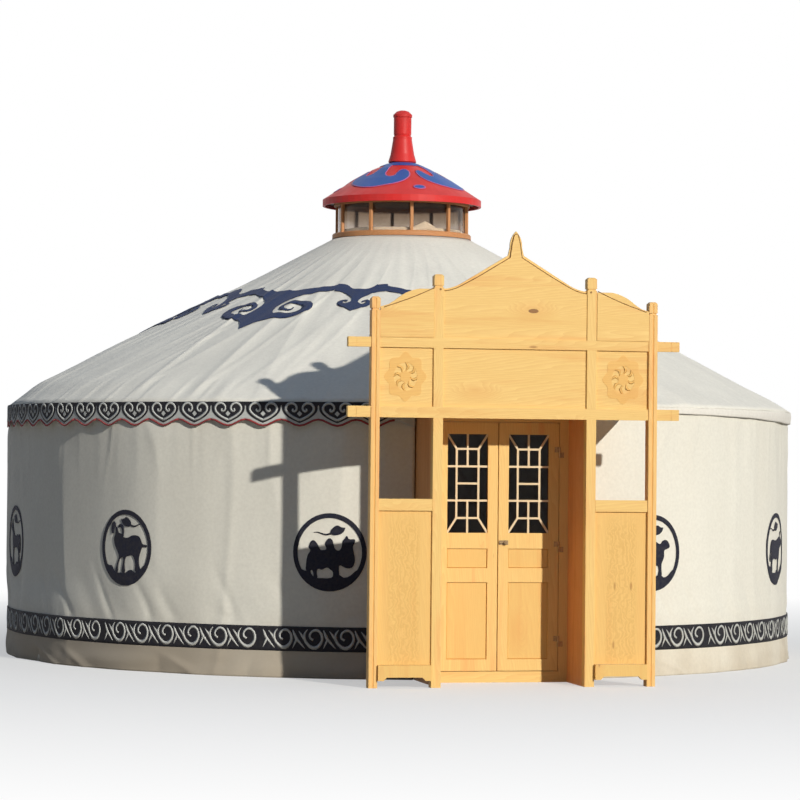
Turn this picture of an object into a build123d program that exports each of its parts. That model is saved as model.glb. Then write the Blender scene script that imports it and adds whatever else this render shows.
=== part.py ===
from build123d import *
from math import asin, atan2, ceil, cos, degrees, floor, hypot, radians, sin
import os

# A seven-metre felt yurt with a carved timber porch. Millimetres, +Z up. The origin is on the
# ground at the middle of the round room, and the porch and its double door face -Y.
# Bearings turn about +Z from the porch: 0 is the door, +90 the right-hand side.

# --- round room ---
WALL_RADIUS = 3500          # outer face of the wall covers
EAVE_HEIGHT = 2190          # outer lower edge of the roof covers
EAVE_REACH = 22             # how far the roof covers overhang the wall
CROWN_HEIGHT = 3739         # where the roof covers meet the crown
WALL_COVER = 38             # felt and canvas of the wall, together
ROOF_COVER = 30             # felt and canvas of the roof, measured square to the slope
WALL_COVER_COUNT = 4
ROOF_COVER_COUNT = 2
SKIRT_HEIGHT = 205          # gathered cloth strip along the ground
SKIRT_THICKNESS = 10
HEM_DEPTH = 70              # rolled hem that closes the eave
HEM_THICKNESS = 18
VALANCE_DEPTH = 195         # patterned strip that hangs from the eave
VALANCE_THICKNESS = 7
VALANCE_END = 108           # bearing where the strip stops, on the right-hand side
SEAM = 0.3                  # clearance between neighbouring soft covers
DOORWAY_CLEARANCE = 1       # between the wall covers' ends and the passage

# --- lattice wall and roof poles ---
LATH_COUNT = 60             # laths in each of the two layers
LATH_WIDTH = 30
LATH_THICKNESS = 12
LATH_LEAN = 9.0             # half of the bearing that a lath sweeps from foot to head
LAYER_GAP = 5.6             # room between the layers at mid height; at the heads they nearly touch
LATTICE_CLEARANCE = 7       # between the laths and the wall covers
POLE_COUNT = 60             # the covers hang in flat panels from pole to pole
POLE_WIDTH = 34
POLE_CLEARANCE = 0.8        # between a pole and the roof covers above it
SEAT = 0.3                  # clearance under a piece that rests on another

# --- crown ---
CROWN_RADIUS = 618          # outer face of the lantern's sill
CROWN_RING_WIDTH = 62
CROWN_RING_DEPTH = 120
CROWN_CLEARANCE = 2         # between the crown ring and the roof covers' edge
SILL_HEIGHT = 46
SILL_REACH = 12             # how far the sill's lip stands out over the roof covers
SILL_EDGE = 10
LANTERN_POST_COUNT = 10
LANTERN_POST_WIDTH = 30
LANTERN_POST_HEIGHT = 250
LANTERN_POST_INSET = 8      # from the sill's outer face
LANTERN_POST_EDGE = 5
LANTERN_TURN = -3.4         # bearing of the post nearest the door
LANTERN_GLASS = 5
HEAD_RING_HEIGHT = 34
CROWN_SPOKE_COUNT = 8
CROWN_SPOKE_WIDTH = 28
CROWN_SPOKE_DEPTH = 50
CROWN_HUB_RADIUS = 110
CAP_RADIUS = 720
CAP_RIM_HEIGHT = 58
CAP_RIM_DROP = 32           # how far the rim hangs below the head ring's top
CAP_RISE = 335              # from the rim's upper edge to the foot of the finial
CAP_SHELL = 22
SOFFIT = 15                 # board that closes the cap from below
FINIAL_FOOT_RADIUS = 128
FINIAL_FOOT_EDGE = 17
FINIAL_HEIGHT = 486
FINIAL_WAIST_RADIUS = 80

# --- porch screen ---
PORCH_REACH = 800           # from the wall covers to the front face of the posts
OPENING_HALF = 567          # half of the passage between the inner posts
INNER_POST = 79
SCREEN_HALF = 1133          # outer faces of the outer posts
OUTER_POST = 70
POST_DEPTH = 88
POST_ROUND = 5
POST_EDGE = 4
GROOVE = 7                  # V groove down the middle of each outer post
POST_HEAD = 88              # height of the head on each post, above its neck
POST_HEAD_INSET = 2
POST_HEAD_EDGE = 14
POST_NECK = 12
POST_NECK_INSET = 9
LOWER_BEAM_BELOW_EAVE = 130
LOWER_BEAM = 85
FRIEZE = 451                # clear height between the two beams
UPPER_BEAM = 76
INNER_POST_RISE = 488       # tips of the posts above the upper beam
OUTER_POST_RISE = 308
BEAM_DEPTH = 52
BEAM_SETBACK = 8            # behind the outer posts' front; the inner posts' front is flush with it
BEAM_REACH = 180            # beam ends beyond the outer posts
BEAM_EDGE = 4
BEAM_COLLAR = 66            # from the tip to the groove round each beam end
COLLAR_GROOVE = 5
COLLAR_DEPTH = 3
JOINT_FIT = 0.2             # clearance of a tenon in its mortise, each side
BOARD = 24                  # frieze, gable and bay boards
BOARD_SETBACK = 26          # from the posts' front face to the boards' front face
GABLE_FACE = 8              # second board laid on the front of a gable board
SHOULDER_RISE = 378         # gable above the upper beam, at the inner posts
SHOULDER_STEP = 4           # the side boards start this far below the centre board
SHOULDER_FOOT_RISE = 232    # gable at the outer posts
APEX_FOOT_RISE = 645        # foot of the pointed bud
APEX_TIP_RISE = 832
APEX_HALF = 62
FACE_DROP = 50              # a side gable's front board stops this far below its back board
CENTRE_FACE_DROP = 14       # the same at the centre, with a narrower bud
MID_RAIL_Z = 1350
MID_RAIL = 90
APRON_Z = 82
APRON = 92
APRON_INSET = 6
BRACKET_DROP = 26           # the apron's ends reach below its middle
BRACKET = 44                # length of each end
BRACKET_SLOPE = 26

# --- passage and door ---
PASSAGE_BOARD = 25
CEILING_BELOW_EAVE = 98
CEILING_BOARD = 16
CEILING_BACK = 350          # how far the ceiling runs in past the wall covers' face
DOOR_SETBACK = 530          # from the porch's front face to the front of the door frame
FRAME_DEPTH = 104
LINTEL = 50                 # head of the door frame, under the ceiling
HEADER_SETBACK = 50         # from the wall covers' face to the header over the doorway
HEADER = 110
JAMB_GAP = 5                # running gap round each leaf
MEETING_GAP = 8             # between the two leaves
LEAF_WIDTH = 485.5
LEAF_THICKNESS = 40
THRESHOLD_HEIGHT = 86
STILE = 80
BOTTOM_RAIL = 91
TALL_PANEL = 602
LOCK_RAIL = 112
SHORT_PANEL = 152
GLASS_RAIL = 123
TOP_RAIL = 93
GLASS_THICKNESS = 5
BAR = 16                    # width of the glazing bars
BAR_DEPTH = 10
PANEL_THICKNESS = 18
PANEL_BEVEL = 9
PANEL_BEVEL_DEPTH = 5.4
PIN_RADIUS = 8
KNUCKLE = 42
HINGE_WEB = 4
HINGE_PLATE = 3
HINGE_LEAF = 38
HINGE_GAP = 0.3
HINGE_INSET = 230           # from a leaf's lower and upper end to its outer hinges
LATCH_HEIGHT = 1096
LATCH_PLATE = (74, 4, 34)   # along X, Y and Z
LATCH_INSET = 4             # from the meeting edge to the plate
BOLT_RADIUS = 6
BOLT_LENGTH = 52
KNOB_RADIUS = 15
KNOB_STEM_RADIUS = 9
KNOB_REACH = 26
KNOB_THICKNESS = 12

os.makedirs("parts", exist_ok=True)

# --- derived places ---
roof_slope = (CROWN_HEIGHT - EAVE_HEIGHT) / (WALL_RADIUS + EAVE_REACH - CROWN_RADIUS)
roof_angle = degrees(atan2(roof_slope, 1))
roof_drop = ROOF_COVER / cos(radians(roof_angle))
panel_span = 360 / POLE_COUNT
flatness = cos(radians(panel_span / 2))
passage_half = OPENING_HALF + PASSAGE_BOARD
wall_inner = (WALL_RADIUS - WALL_COVER) * flatness
doorway_bearing = degrees(asin((passage_half + DOORWAY_CLEARANCE) / wall_inner))
seam_angle = degrees(SEAM / WALL_RADIUS)
front = -WALL_RADIUS - PORCH_REACH
post_back = front + POST_DEPTH
board_y0 = front + BOARD_SETBACK
board_y1 = board_y0 + BOARD
door_y = front + DOOR_SETBACK
frame_back = door_y + FRAME_DEPTH
header_y = -WALL_RADIUS + HEADER_SETBACK
header_back = header_y + FRAME_DEPTH
lower_beam_z = EAVE_HEIGHT - LOWER_BEAM_BELOW_EAVE
frieze_low = lower_beam_z + LOWER_BEAM
upper_beam_z = frieze_low + FRIEZE
gable_low = upper_beam_z + UPPER_BEAM
ceiling_z = EAVE_HEIGHT - CEILING_BELOW_EAVE


def roof_top(radius):
    """Height of the roof covers' outer face."""
    return EAVE_HEIGHT + (WALL_RADIUS + EAVE_REACH - radius) * roof_slope


def roof_under(radius):
    """Height of the roof covers' inner face."""
    return roof_top(radius) - roof_drop


def save(node, shape):
    export_step(shape, f"parts/{node}.step")


def panel_corner(radius, height, bearing):
    """A point of the panelled round, whose corners at the poles have this radius."""
    from_middle = bearing - (floor(bearing / panel_span) + 0.5) * panel_span
    reach = radius * flatness / cos(radians(from_middle))
    return (reach * sin(radians(bearing)), -reach * cos(radians(bearing)), height)


def panelled(outline, start=0, end=360):
    """Sweep an outline of (radius, height) points between two bearings, in flat panels."""
    first_pole = floor(start / panel_span) + 1
    last_pole = ceil(end / panel_span) - 1
    bearings = [start] + [pole * panel_span for pole in range(first_pole, last_pole + 1)] + [end]
    rows = [[panel_corner(r, z, bearing) for r, z in outline] for bearing in bearings]
    faces = []
    for near, far in zip(rows, rows[1:]):
        for i in range(len(outline)):
            corners = list(dict.fromkeys((near[i - 1], near[i], far[i], far[i - 1])))
            if len(corners) > 2:
                faces.append(make_face(Polyline(*corners, close=True)))
    if end - start < 360:
        faces += [make_face(Polyline(*row, close=True)) for row in (rows[0], rows[-1])]
    return Solid(Shell(faces)).clean()


def band(inner, outer, low, high, start=0, end=360):
    return panelled([(inner, low), (outer, low), (outer, high), (inner, high)], start, end)


def block(x0, x1, y0, y1, z0, z1):
    """A box between two corners."""
    centre = Pos((x0 + x1) / 2, (y0 + y1) / 2, (z0 + z1) / 2)
    return centre * Box(abs(x1 - x0), abs(y1 - y0), abs(z1 - z0))


def board(outline, y0, y1):
    """Extrude a closed outline drawn in the X-Z plane from y0 back to y1."""
    face = make_face(Plane.XZ * outline)
    return Pos(0, y0, 0) * extrude(face, amount=-(y1 - y0))


def both_sides(node, shape):
    """Write a right-hand piece and its mirror image as two nodes."""
    save(f"right_{node}", shape)
    save(f"left_{node}", mirror(shape, Plane.YZ))


def save_pair(node, shape, *middle):
    """Write a right-hand piece, its mirror image and any middle piece as one node."""
    save(node, Compound([*shape.solids(), *mirror(shape, Plane.YZ).solids(), *middle]))


# --- wall covers ---
wall_top = roof_under(WALL_RADIUS) - SEAM
cover_span = (360 - 2 * doorway_bearing) / WALL_COVER_COUNT
for index in range(WALL_COVER_COUNT):
    start = doorway_bearing + index * cover_span
    cover = band(
        WALL_RADIUS - WALL_COVER, WALL_RADIUS, 0, wall_top, start + seam_angle, start + cover_span
    )
    save(f"wall_cover_{index + 1}", cover)

# --- skirt, hem and valance ---
skirt_inner = WALL_RADIUS + SEAM
save(
    "ground_skirt",
    band(
        skirt_inner,
        skirt_inner + SKIRT_THICKNESS,
        0,
        SKIRT_HEIGHT,
        doorway_bearing,
        360 - doorway_bearing,
    ),
)
hem_outer = WALL_RADIUS + EAVE_REACH
hem_top = roof_under(hem_outer) - SEAM
save("eave_hem", band(hem_outer - HEM_THICKNESS, hem_outer, EAVE_HEIGHT - HEM_DEPTH, hem_top))
valance_inner = hem_outer + SEAM
save(
    "eave_valance",
    band(
        valance_inner,
        valance_inner + VALANCE_THICKNESS,
        EAVE_HEIGHT - VALANCE_DEPTH,
        EAVE_HEIGHT,
        VALANCE_END,
        360 - doorway_bearing,
    ),
)

# --- roof covers ---
roof_inner = CROWN_RADIUS + SEAM
roof_outline = [
    (hem_outer, roof_under(hem_outer)),
    (hem_outer, roof_top(hem_outer)),
    (roof_inner, roof_top(roof_inner)),
    (roof_inner, roof_under(roof_inner)),
]
gore_span = 360 / ROOF_COVER_COUNT
for index in range(ROOF_COVER_COUNT):
    start = (index + 0.5) * gore_span
    gore = panelled(roof_outline, start + seam_angle * WALL_RADIUS / roof_inner, start + gore_span)
    save(f"roof_cover_{index + 1}", gore)

# --- lattice wall: two layers of straight laths, one leaning each way ---
# Each lath is a chord of the round, so a layer is a ruled surface that narrows at mid height.
pole_depth = POLE_WIDTH / cos(radians(roof_angle))
lattice_outer = WALL_RADIUS - WALL_COVER - LATTICE_CLEARANCE
lattice_top = roof_under(lattice_outer) - POLE_CLEARANCE - pole_depth - SEAT
lath_reach = lattice_outer * sin(radians(LATH_LEAN))
lath_slope = degrees(atan2(lath_reach, lattice_top / 2))
lath_waist = lattice_outer * cos(radians(LATH_LEAN)) - LATH_THICKNESS
layer_step = (LATH_THICKNESS + LAYER_GAP) / 2
doorway_room = block(
    -passage_half - SEAM,
    passage_half + SEAM,
    -WALL_RADIUS,
    -WALL_RADIUS / 2,
    0,
    EAVE_HEIGHT,
)
height_room = block(-WALL_RADIUS, WALL_RADIUS, -WALL_RADIUS, WALL_RADIUS, 0, lattice_top)
for layer, lean, offset in (("outer", 1, layer_step), ("inner", -1, -layer_step)):
    laths = []
    for index in range(LATH_COUNT):
        bearing = (index + 0.5) * 360 / LATH_COUNT
        bar = Box(LATH_WIDTH, LATH_THICKNESS, 1.2 * hypot(lattice_top, 2 * lath_reach))
        bar = Pos(0, -lath_waist - offset, lattice_top / 2) * Rot(0, lean * lath_slope, 0) * bar
        laths += (Rot(0, 0, bearing) * bar & height_room).solids()
    kept = []
    for lath in laths:
        kept += (lath - doorway_room).solids() if lath.center().Y < 0 else [lath]
    save(f"lattice_{layer}_laths", Compound(kept))

# --- roof poles ---
ring_outer = CROWN_RADIUS - CROWN_CLEARANCE
pole_foot = lattice_outer
poles = []
for index in range(POLE_COUNT):
    bearing = index * 360 / POLE_COUNT
    half = POLE_WIDTH / 2
    top_line = [(r, roof_under(r) - POLE_CLEARANCE) for r in (pole_foot, ring_outer + SEAT)]
    under_line = [(r, z - pole_depth) for r, z in reversed(top_line)]
    side = Polyline(*[(r, 0, z) for r, z in top_line + under_line], close=True)
    pole = Pos(0, half, 0) * extrude(make_face(side), amount=POLE_WIDTH, dir=(0, -1, 0))
    poles.append(Rot(0, 0, bearing - 90) * pole)
save("roof_poles", Compound(poles))

# --- crown: ring, spokes, sill, posts, glass, head ring ---
# The crown's round pieces have the same flats as the covers, so they seat flush on one another.
ring_inner = ring_outer - CROWN_RING_WIDTH
ring_low = CROWN_HEIGHT - CROWN_RING_DEPTH
ring_middle = ring_low + CROWN_RING_DEPTH / 2
crown_ring = band(ring_inner, ring_outer, ring_low, CROWN_HEIGHT)
save("crown_ring", crown_ring)
hub_flat = CROWN_HUB_RADIUS * cos(radians(180 / CROWN_SPOKE_COUNT))
hub = extrude(RegularPolygon(CROWN_HUB_RADIUS, CROWN_SPOKE_COUNT), amount=CROWN_RING_DEPTH)
save("crown_hub", Pos(0, 0, ring_low) * hub)
spokes = []
for index in range(CROWN_SPOKE_COUNT):
    spoke = block(
        hub_flat,
        ring_inner,
        -CROWN_SPOKE_WIDTH / 2,
        CROWN_SPOKE_WIDTH / 2,
        ring_middle - CROWN_SPOKE_DEPTH / 2,
        ring_middle + CROWN_SPOKE_DEPTH / 2,
    )
    spoke = Rot(0, 0, (index + 0.5) * 360 / CROWN_SPOKE_COUNT) * spoke
    spokes += (spoke - crown_ring).solids()
save("crown_spokes", Compound(spokes))

sill_outer = CROWN_RADIUS + SILL_REACH
sill_top = CROWN_HEIGHT + SILL_HEIGHT
sill_outline = [
    (ring_inner, CROWN_HEIGHT),
    (sill_outer, CROWN_HEIGHT),
    (sill_outer, sill_top - SILL_EDGE),
    (sill_outer - SILL_EDGE, sill_top),
    (ring_inner, sill_top),
]
save("lantern_sill", panelled(sill_outline))
post_centre = CROWN_RADIUS - LANTERN_POST_INSET - LANTERN_POST_WIDTH / 2
head_low = sill_top + LANTERN_POST_HEIGHT
lantern_posts = []
for index in range(LANTERN_POST_COUNT):
    post = Pos(0, -post_centre, sill_top + LANTERN_POST_HEIGHT / 2) * Box(
        LANTERN_POST_WIDTH, LANTERN_POST_WIDTH, LANTERN_POST_HEIGHT
    )
    post = chamfer(post.edges().filter_by(Axis.Z), LANTERN_POST_EDGE)
    lantern_posts.append(Rot(0, 0, LANTERN_TURN + index * 360 / LANTERN_POST_COUNT) * post)
save("lantern_posts", Compound(lantern_posts))
glass_outer = post_centre - LANTERN_POST_WIDTH / 2 - SEAT
save("lantern_glass", band(glass_outer - LANTERN_GLASS, glass_outer, sill_top, head_low))
head_top = head_low + HEAD_RING_HEIGHT
save("lantern_head_ring", band(ring_inner, CROWN_RADIUS, head_low, head_top))

# --- cap and finial ---
rim_low = head_top - CAP_RIM_DROP
rim_top = rim_low + CAP_RIM_HEIGHT
cap_top = rim_top + CAP_RISE
cap_inner = CAP_RADIUS - CAP_SHELL
cap_outline = [
    (0, cap_top),
    (FINIAL_FOOT_RADIUS, cap_top),
    (0.38 * CAP_RADIUS, rim_top + 0.82 * CAP_RISE),
    (0.64 * CAP_RADIUS, rim_top + 0.50 * CAP_RISE),
    (CAP_RADIUS, rim_top),
    (CAP_RADIUS, rim_low),
    (cap_inner, rim_low),
    (cap_inner, rim_top - CAP_SHELL / 2),
    (0.38 * CAP_RADIUS, rim_top + 0.82 * CAP_RISE - 1.6 * CAP_SHELL),
    (0, rim_top + 0.82 * CAP_RISE - 1.6 * CAP_SHELL),
]
save("lantern_cap", panelled(cap_outline))
save("cap_soffit", band(0, cap_inner - SEAT, head_top, head_top + SOFFIT))

# The finial is turned: a flared foot, a collar over a groove, a neck, and a collar under its tip.
collar = 1.08 * FINIAL_WAIST_RADIUS
finial_outline = [
    (0, 0),
    (FINIAL_FOOT_RADIUS - FINIAL_FOOT_EDGE, 0),
    (FINIAL_FOOT_RADIUS, FINIAL_FOOT_EDGE),
    (0.84 * FINIAL_FOOT_RADIUS, 0.18 * FINIAL_HEIGHT),
    (collar, 0.45 * FINIAL_HEIGHT),
    (collar, 0.50 * FINIAL_HEIGHT),
    (0.94 * FINIAL_WAIST_RADIUS, 0.52 * FINIAL_HEIGHT),
    (FINIAL_WAIST_RADIUS, 0.56 * FINIAL_HEIGHT),
    (FINIAL_WAIST_RADIUS, 0.86 * FINIAL_HEIGHT),
    (collar, 0.88 * FINIAL_HEIGHT),
    (collar, 0.92 * FINIAL_HEIGHT),
    (0.7 * FINIAL_WAIST_RADIUS, 0.98 * FINIAL_HEIGHT),
    (0.35 * FINIAL_WAIST_RADIUS, FINIAL_HEIGHT),
    (0, FINIAL_HEIGHT),
]
save("cap_finial", panelled([(r, cap_top + z) for r, z in finial_outline]))

# --- porch beams: halved into the inner posts' faces, tenoned through the outer posts ---
beam_y0 = front + BEAM_SETBACK
beam_y1 = beam_y0 + BEAM_DEPTH
beam_half = SCREEN_HALF + BEAM_REACH


def beam(low, depth):
    timber = block(-beam_half, beam_half, beam_y0, beam_y1, low, low + depth)
    timber = chamfer(timber.edges().filter_by(Axis.X, reverse=True), BEAM_EDGE)
    collar_x = beam_half - BEAM_COLLAR
    for x in (-collar_x, collar_x):
        cutter = Pos(x, (beam_y0 + beam_y1) / 2, low + depth / 2) * Box(
            COLLAR_GROOVE, BEAM_DEPTH, depth
        )
        core = Pos(x, (beam_y0 + beam_y1) / 2, low + depth / 2) * Box(
            COLLAR_GROOVE, BEAM_DEPTH - 2 * COLLAR_DEPTH, depth - 2 * COLLAR_DEPTH
        )
        timber -= cutter - core
    return timber


def mortises(y0):
    """Room for both beams, with clearance all round, from y0 to behind the beams."""
    return [
        block(
            -beam_half,
            beam_half,
            y0 - JOINT_FIT,
            beam_y1 + JOINT_FIT,
            low - JOINT_FIT,
            low + depth + JOINT_FIT,
        )
        for low, depth in ((lower_beam_z, LOWER_BEAM), (upper_beam_z, UPPER_BEAM))
    ]


save("lower_beam", beam(lower_beam_z, LOWER_BEAM))
save("upper_beam", beam(upper_beam_z, UPPER_BEAM))


# --- porch posts ---
def porch_post(x0, x1, face, height):
    """A square post with eased corners and a head on a short neck."""
    neck_z = height - POST_HEAD - POST_NECK
    head_z = height - POST_HEAD
    shaft = block(x0, x1, face, post_back, 0, neck_z)
    shaft = fillet(shaft.edges().filter_by(Axis.Z), POST_ROUND)
    shaft = chamfer(shaft.faces().sort_by(Axis.Z)[-1].edges(), POST_EDGE)
    neck = block(
        x0 + POST_NECK_INSET,
        x1 - POST_NECK_INSET,
        face + POST_NECK_INSET,
        post_back - POST_NECK_INSET,
        neck_z,
        head_z,
    )
    head = block(
        x0 + POST_HEAD_INSET,
        x1 - POST_HEAD_INSET,
        face + POST_HEAD_INSET,
        post_back - POST_HEAD_INSET,
        head_z,
        height,
    )
    head = chamfer(head.faces().sort_by(Axis.Z)[-1].edges(), POST_HEAD_EDGE)
    return shaft + neck + head


inner_edge = OPENING_HALF + INNER_POST
bay_out = SCREEN_HALF - OUTER_POST
inner_post = porch_post(OPENING_HALF, inner_edge, beam_y0, gable_low + INNER_POST_RISE)
save_pair("inner_posts", inner_post - mortises(front))
outer_post = porch_post(bay_out, SCREEN_HALF, front, gable_low + OUTER_POST_RISE)
outer_middle = (bay_out + SCREEN_HALF) / 2
v_groove = Polyline(
    (outer_middle - GROOVE, front),
    (outer_middle + GROOVE, front),
    (outer_middle, front + GROOVE),
    close=True,
)
outer_post -= extrude(make_face(v_groove), amount=gable_low + OUTER_POST_RISE)
save_pair("outer_posts", outer_post - mortises(beam_y0))

# --- frieze boards between the beams ---
save_pair(
    "frieze_boards",
    block(inner_edge, bay_out, board_y0, board_y1, frieze_low, upper_beam_z),
    block(-OPENING_HALF, OPENING_HALF, board_y0, board_y1, frieze_low, upper_beam_z),
)

# --- gable boards over the upper beam ---
shoulder_z = gable_low + SHOULDER_RISE
apex_foot_z = gable_low + APEX_FOOT_RISE
apex_tip_z = gable_low + APEX_TIP_RISE


def centre_gable(drop):
    """A gable that leaves the posts level, climbs straight and ends in a pointed bud."""
    bud_half = APEX_HALF - drop
    curve_end = (0.76 * OPENING_HALF, shoulder_z + 0.16 * (apex_foot_z - shoulder_z) - drop)
    bud_foot = (bud_half, apex_foot_z - drop)
    bud_side = (0.76 * bud_half, apex_foot_z + 0.34 * (apex_tip_z - apex_foot_z))
    right = Curve() + [
        Polyline((0, gable_low), (OPENING_HALF, gable_low), (OPENING_HALF, shoulder_z - drop)),
        ThreePointArc(
            (OPENING_HALF, shoulder_z - drop),
            (0.89 * OPENING_HALF, shoulder_z + 0.045 * (apex_foot_z - shoulder_z) - drop),
            curve_end,
        ),
        Polyline(curve_end, bud_foot, bud_side),
        ThreePointArc(
            bud_side,
            (0.5 * bud_half, apex_foot_z + 0.77 * (apex_tip_z - apex_foot_z) - drop),
            (0, apex_tip_z - drop),
        ),
    ]
    return right + mirror(right, Plane.YZ)


back_board = board(centre_gable(0), board_y0, board_y1)
face_board = board(centre_gable(CENTRE_FACE_DROP), board_y0 - GABLE_FACE, board_y0)
gable_centre = back_board + face_board
side_span = bay_out - inner_edge
side_foot_z = gable_low + SHOULDER_FOOT_RISE


def side_gable():
    """A short level shoulder that rounds over and falls to the outer post."""
    step_z = shoulder_z - SHOULDER_STEP
    fall = step_z - side_foot_z
    return Curve() + [
        Polyline(
            (bay_out, side_foot_z), (bay_out, gable_low), (inner_edge, gable_low),
            (inner_edge, step_z), (inner_edge + 0.28 * side_span, step_z),
        ),
        ThreePointArc(
            (inner_edge + 0.28 * side_span, step_z),
            (inner_edge + 0.55 * side_span, step_z - 0.27 * fall),
            (inner_edge + 0.72 * side_span, step_z - 0.62 * fall),
        ),
        Polyline(
            (inner_edge + 0.72 * side_span, step_z - 0.62 * fall),
            (inner_edge + 0.85 * side_span, step_z - 0.87 * fall),
            (bay_out, side_foot_z),
        ),
    ]


def side_gable_face():
    """The lower front board, a single hollow sweep between the posts."""
    inner_z = shoulder_z - SHOULDER_STEP - FACE_DROP
    outer_z = side_foot_z - FACE_DROP
    return Curve() + [
        Polyline(
            (bay_out, outer_z), (bay_out, gable_low), (inner_edge, gable_low), (inner_edge, inner_z)
        ),
        ThreePointArc(
            (inner_edge, inner_z),
            (inner_edge + 0.5 * side_span, outer_z + 0.42 * (inner_z - outer_z)),
            (bay_out, outer_z),
        ),
    ]


gable_side = board(side_gable(), board_y0, board_y1)
gable_side += board(side_gable_face(), board_y0 - GABLE_FACE, board_y0)
save_pair("gable_boards", gable_side, gable_centre)

# --- side bays: rail, panel and shaped apron ---
save_pair(
    "bay_rails",
    block(inner_edge, bay_out, beam_y0, beam_y1, MID_RAIL_Z, MID_RAIL_Z + MID_RAIL),
)
save_pair(
    "bay_panels",
    block(inner_edge, bay_out, board_y0, board_y1, APRON_Z + APRON, MID_RAIL_Z),
)
apron_top = APRON_Z + APRON
bracket_z = APRON_Z - BRACKET_DROP
apron_outline = Polyline(
    (inner_edge, apron_top),
    (bay_out, apron_top),
    (bay_out, bracket_z),
    (bay_out - BRACKET, bracket_z),
    (bay_out - BRACKET - BRACKET_SLOPE, APRON_Z),
    (inner_edge + BRACKET + BRACKET_SLOPE, APRON_Z),
    (inner_edge + BRACKET, bracket_z),
    (inner_edge, bracket_z),
    close=True,
)
save_pair("bay_aprons", board(apron_outline, beam_y0 + APRON_INSET, beam_y1 - APRON_INSET))

# --- passage: two walls and a ceiling that meets the round wall ---
save_pair(
    "passage_walls",
    block(OPENING_HALF, passage_half, post_back, header_back, 0, ceiling_z),
)
ceiling_top = ceiling_z + CEILING_BOARD
ceiling = block(
    -SCREEN_HALF, SCREEN_HALF, post_back, CEILING_BACK - WALL_RADIUS, ceiling_z, ceiling_top
)
ceiling -= Cylinder(valance_inner + VALANCE_THICKNESS + SEAM, 3 * CROWN_HEIGHT)
ceiling += block(-passage_half, passage_half, post_back, header_y, ceiling_z, ceiling_top)
save("porch_ceiling", ceiling)

# --- door frame, and the header that carries the poles over the doorway ---
jamb_inner = MEETING_GAP / 2 + LEAF_WIDTH + JAMB_GAP
lintel_low = ceiling_z - LINTEL
frame_head = block(-OPENING_HALF, OPENING_HALF, door_y, frame_back, lintel_low, ceiling_z)
header = block(
    -OPENING_HALF, OPENING_HALF, header_y, header_back, lattice_top - HEADER, lattice_top
)
save("door_lintel", Compound([frame_head, header]))
save_pair("door_jambs", block(jamb_inner, OPENING_HALF, door_y, frame_back, 0, lintel_low))
save(
    "threshold",
    block(-jamb_inner, jamb_inner, door_y, frame_back, 0, THRESHOLD_HEIGHT),
)

# --- door leaves ---
leaf_low = THRESHOLD_HEIGHT + JAMB_GAP
leaf_top = lintel_low - JAMB_GAP
leaf_x0 = MEETING_GAP / 2
leaf_x1 = leaf_x0 + LEAF_WIDTH
pane_x0 = leaf_x0 + STILE
pane_x1 = leaf_x1 - STILE
tall_low = leaf_low + BOTTOM_RAIL
tall_panel = (tall_low, tall_low + TALL_PANEL)
short_low = tall_panel[1] + LOCK_RAIL
short_panel = (short_low, short_low + SHORT_PANEL)
pane = (short_panel[1] + GLASS_RAIL, leaf_top - TOP_RAIL)


def opening(span):
    return block(pane_x0, pane_x1, door_y - 1, door_y + LEAF_THICKNESS + 1, *span)


leaf = block(leaf_x0, leaf_x1, door_y, door_y + LEAF_THICKNESS, leaf_low, leaf_top)
leaf -= opening(tall_panel)
leaf -= opening(short_panel)
leaf -= opening(pane)
both_sides("door", leaf)

panels = []
for low, high in (tall_panel, short_panel):
    middle_y = door_y + LEAF_THICKNESS / 2
    panel = block(
        pane_x0, pane_x1, middle_y - PANEL_THICKNESS / 2, middle_y + PANEL_THICKNESS / 2, low, high
    )
    panels.append(chamfer(panel.faces().sort_by(Axis.Y)[0].edges(), PANEL_BEVEL_DEPTH, PANEL_BEVEL))
both_sides("door_panels", Compound(panels))

glass_y = door_y + LEAF_THICKNESS / 2
both_sides(
    "door_glass", block(pane_x0, pane_x1, glass_y, glass_y + GLASS_THICKNESS, *pane)
)

# Glazing bars: an inner rectangle, crossing rails, a middle upright and corner braces.
pane_width = pane_x1 - pane_x0
pane_height = pane[1] - pane[0]
rect_x = (pane_x0 + 0.23 * pane_width, pane_x1 - 0.23 * pane_width)
rect_z = (pane[0] + 0.15 * pane_height, pane[1] - 0.15 * pane_height)
rail_z = (pane[0] + 0.327 * pane_height, pane[1] - 0.327 * pane_height)
middle_x = (pane_x0 + pane_x1) / 2
bar_y = glass_y - BAR_DEPTH


def glazing_bar(x0, z0, x1, z1):
    length = hypot(x1 - x0, z1 - z0)
    turn = degrees(atan2(x1 - x0, z1 - z0))
    centre = Pos((x0 + x1) / 2, bar_y + BAR_DEPTH / 2, (z0 + z1) / 2)
    return centre * Rot(0, turn, 0) * Box(BAR, BAR_DEPTH, length)


bars = [glazing_bar(x, rect_z[0], x, rect_z[1]) for x in rect_x]
bars += [glazing_bar(rect_x[0] - BAR / 2, z, rect_x[1] + BAR / 2, z) for z in rect_z]
bars += [glazing_bar(pane_x0, z, pane_x1, z) for z in rail_z]
bars.append(glazing_bar(rect_x[0], sum(pane) / 2, rect_x[1], sum(pane) / 2))
bars.append(glazing_bar(middle_x, rail_z[1], middle_x, pane[1]))
bars.append(glazing_bar(middle_x, pane[0], middle_x, rail_z[0]))
for corner_x, inner_x in zip((pane_x0, pane_x1), rect_x):
    for corner_z, inner_z in zip(pane, rect_z):
        bars.append(glazing_bar(corner_x, corner_z, inner_x, inner_z))
lattice_bars = bars[0]
for piece in bars[1:]:
    lattice_bars += piece
lattice_bars &= block(pane_x0, pane_x1, bar_y, glass_y, *pane)
both_sides("door_bars", lattice_bars)

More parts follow.
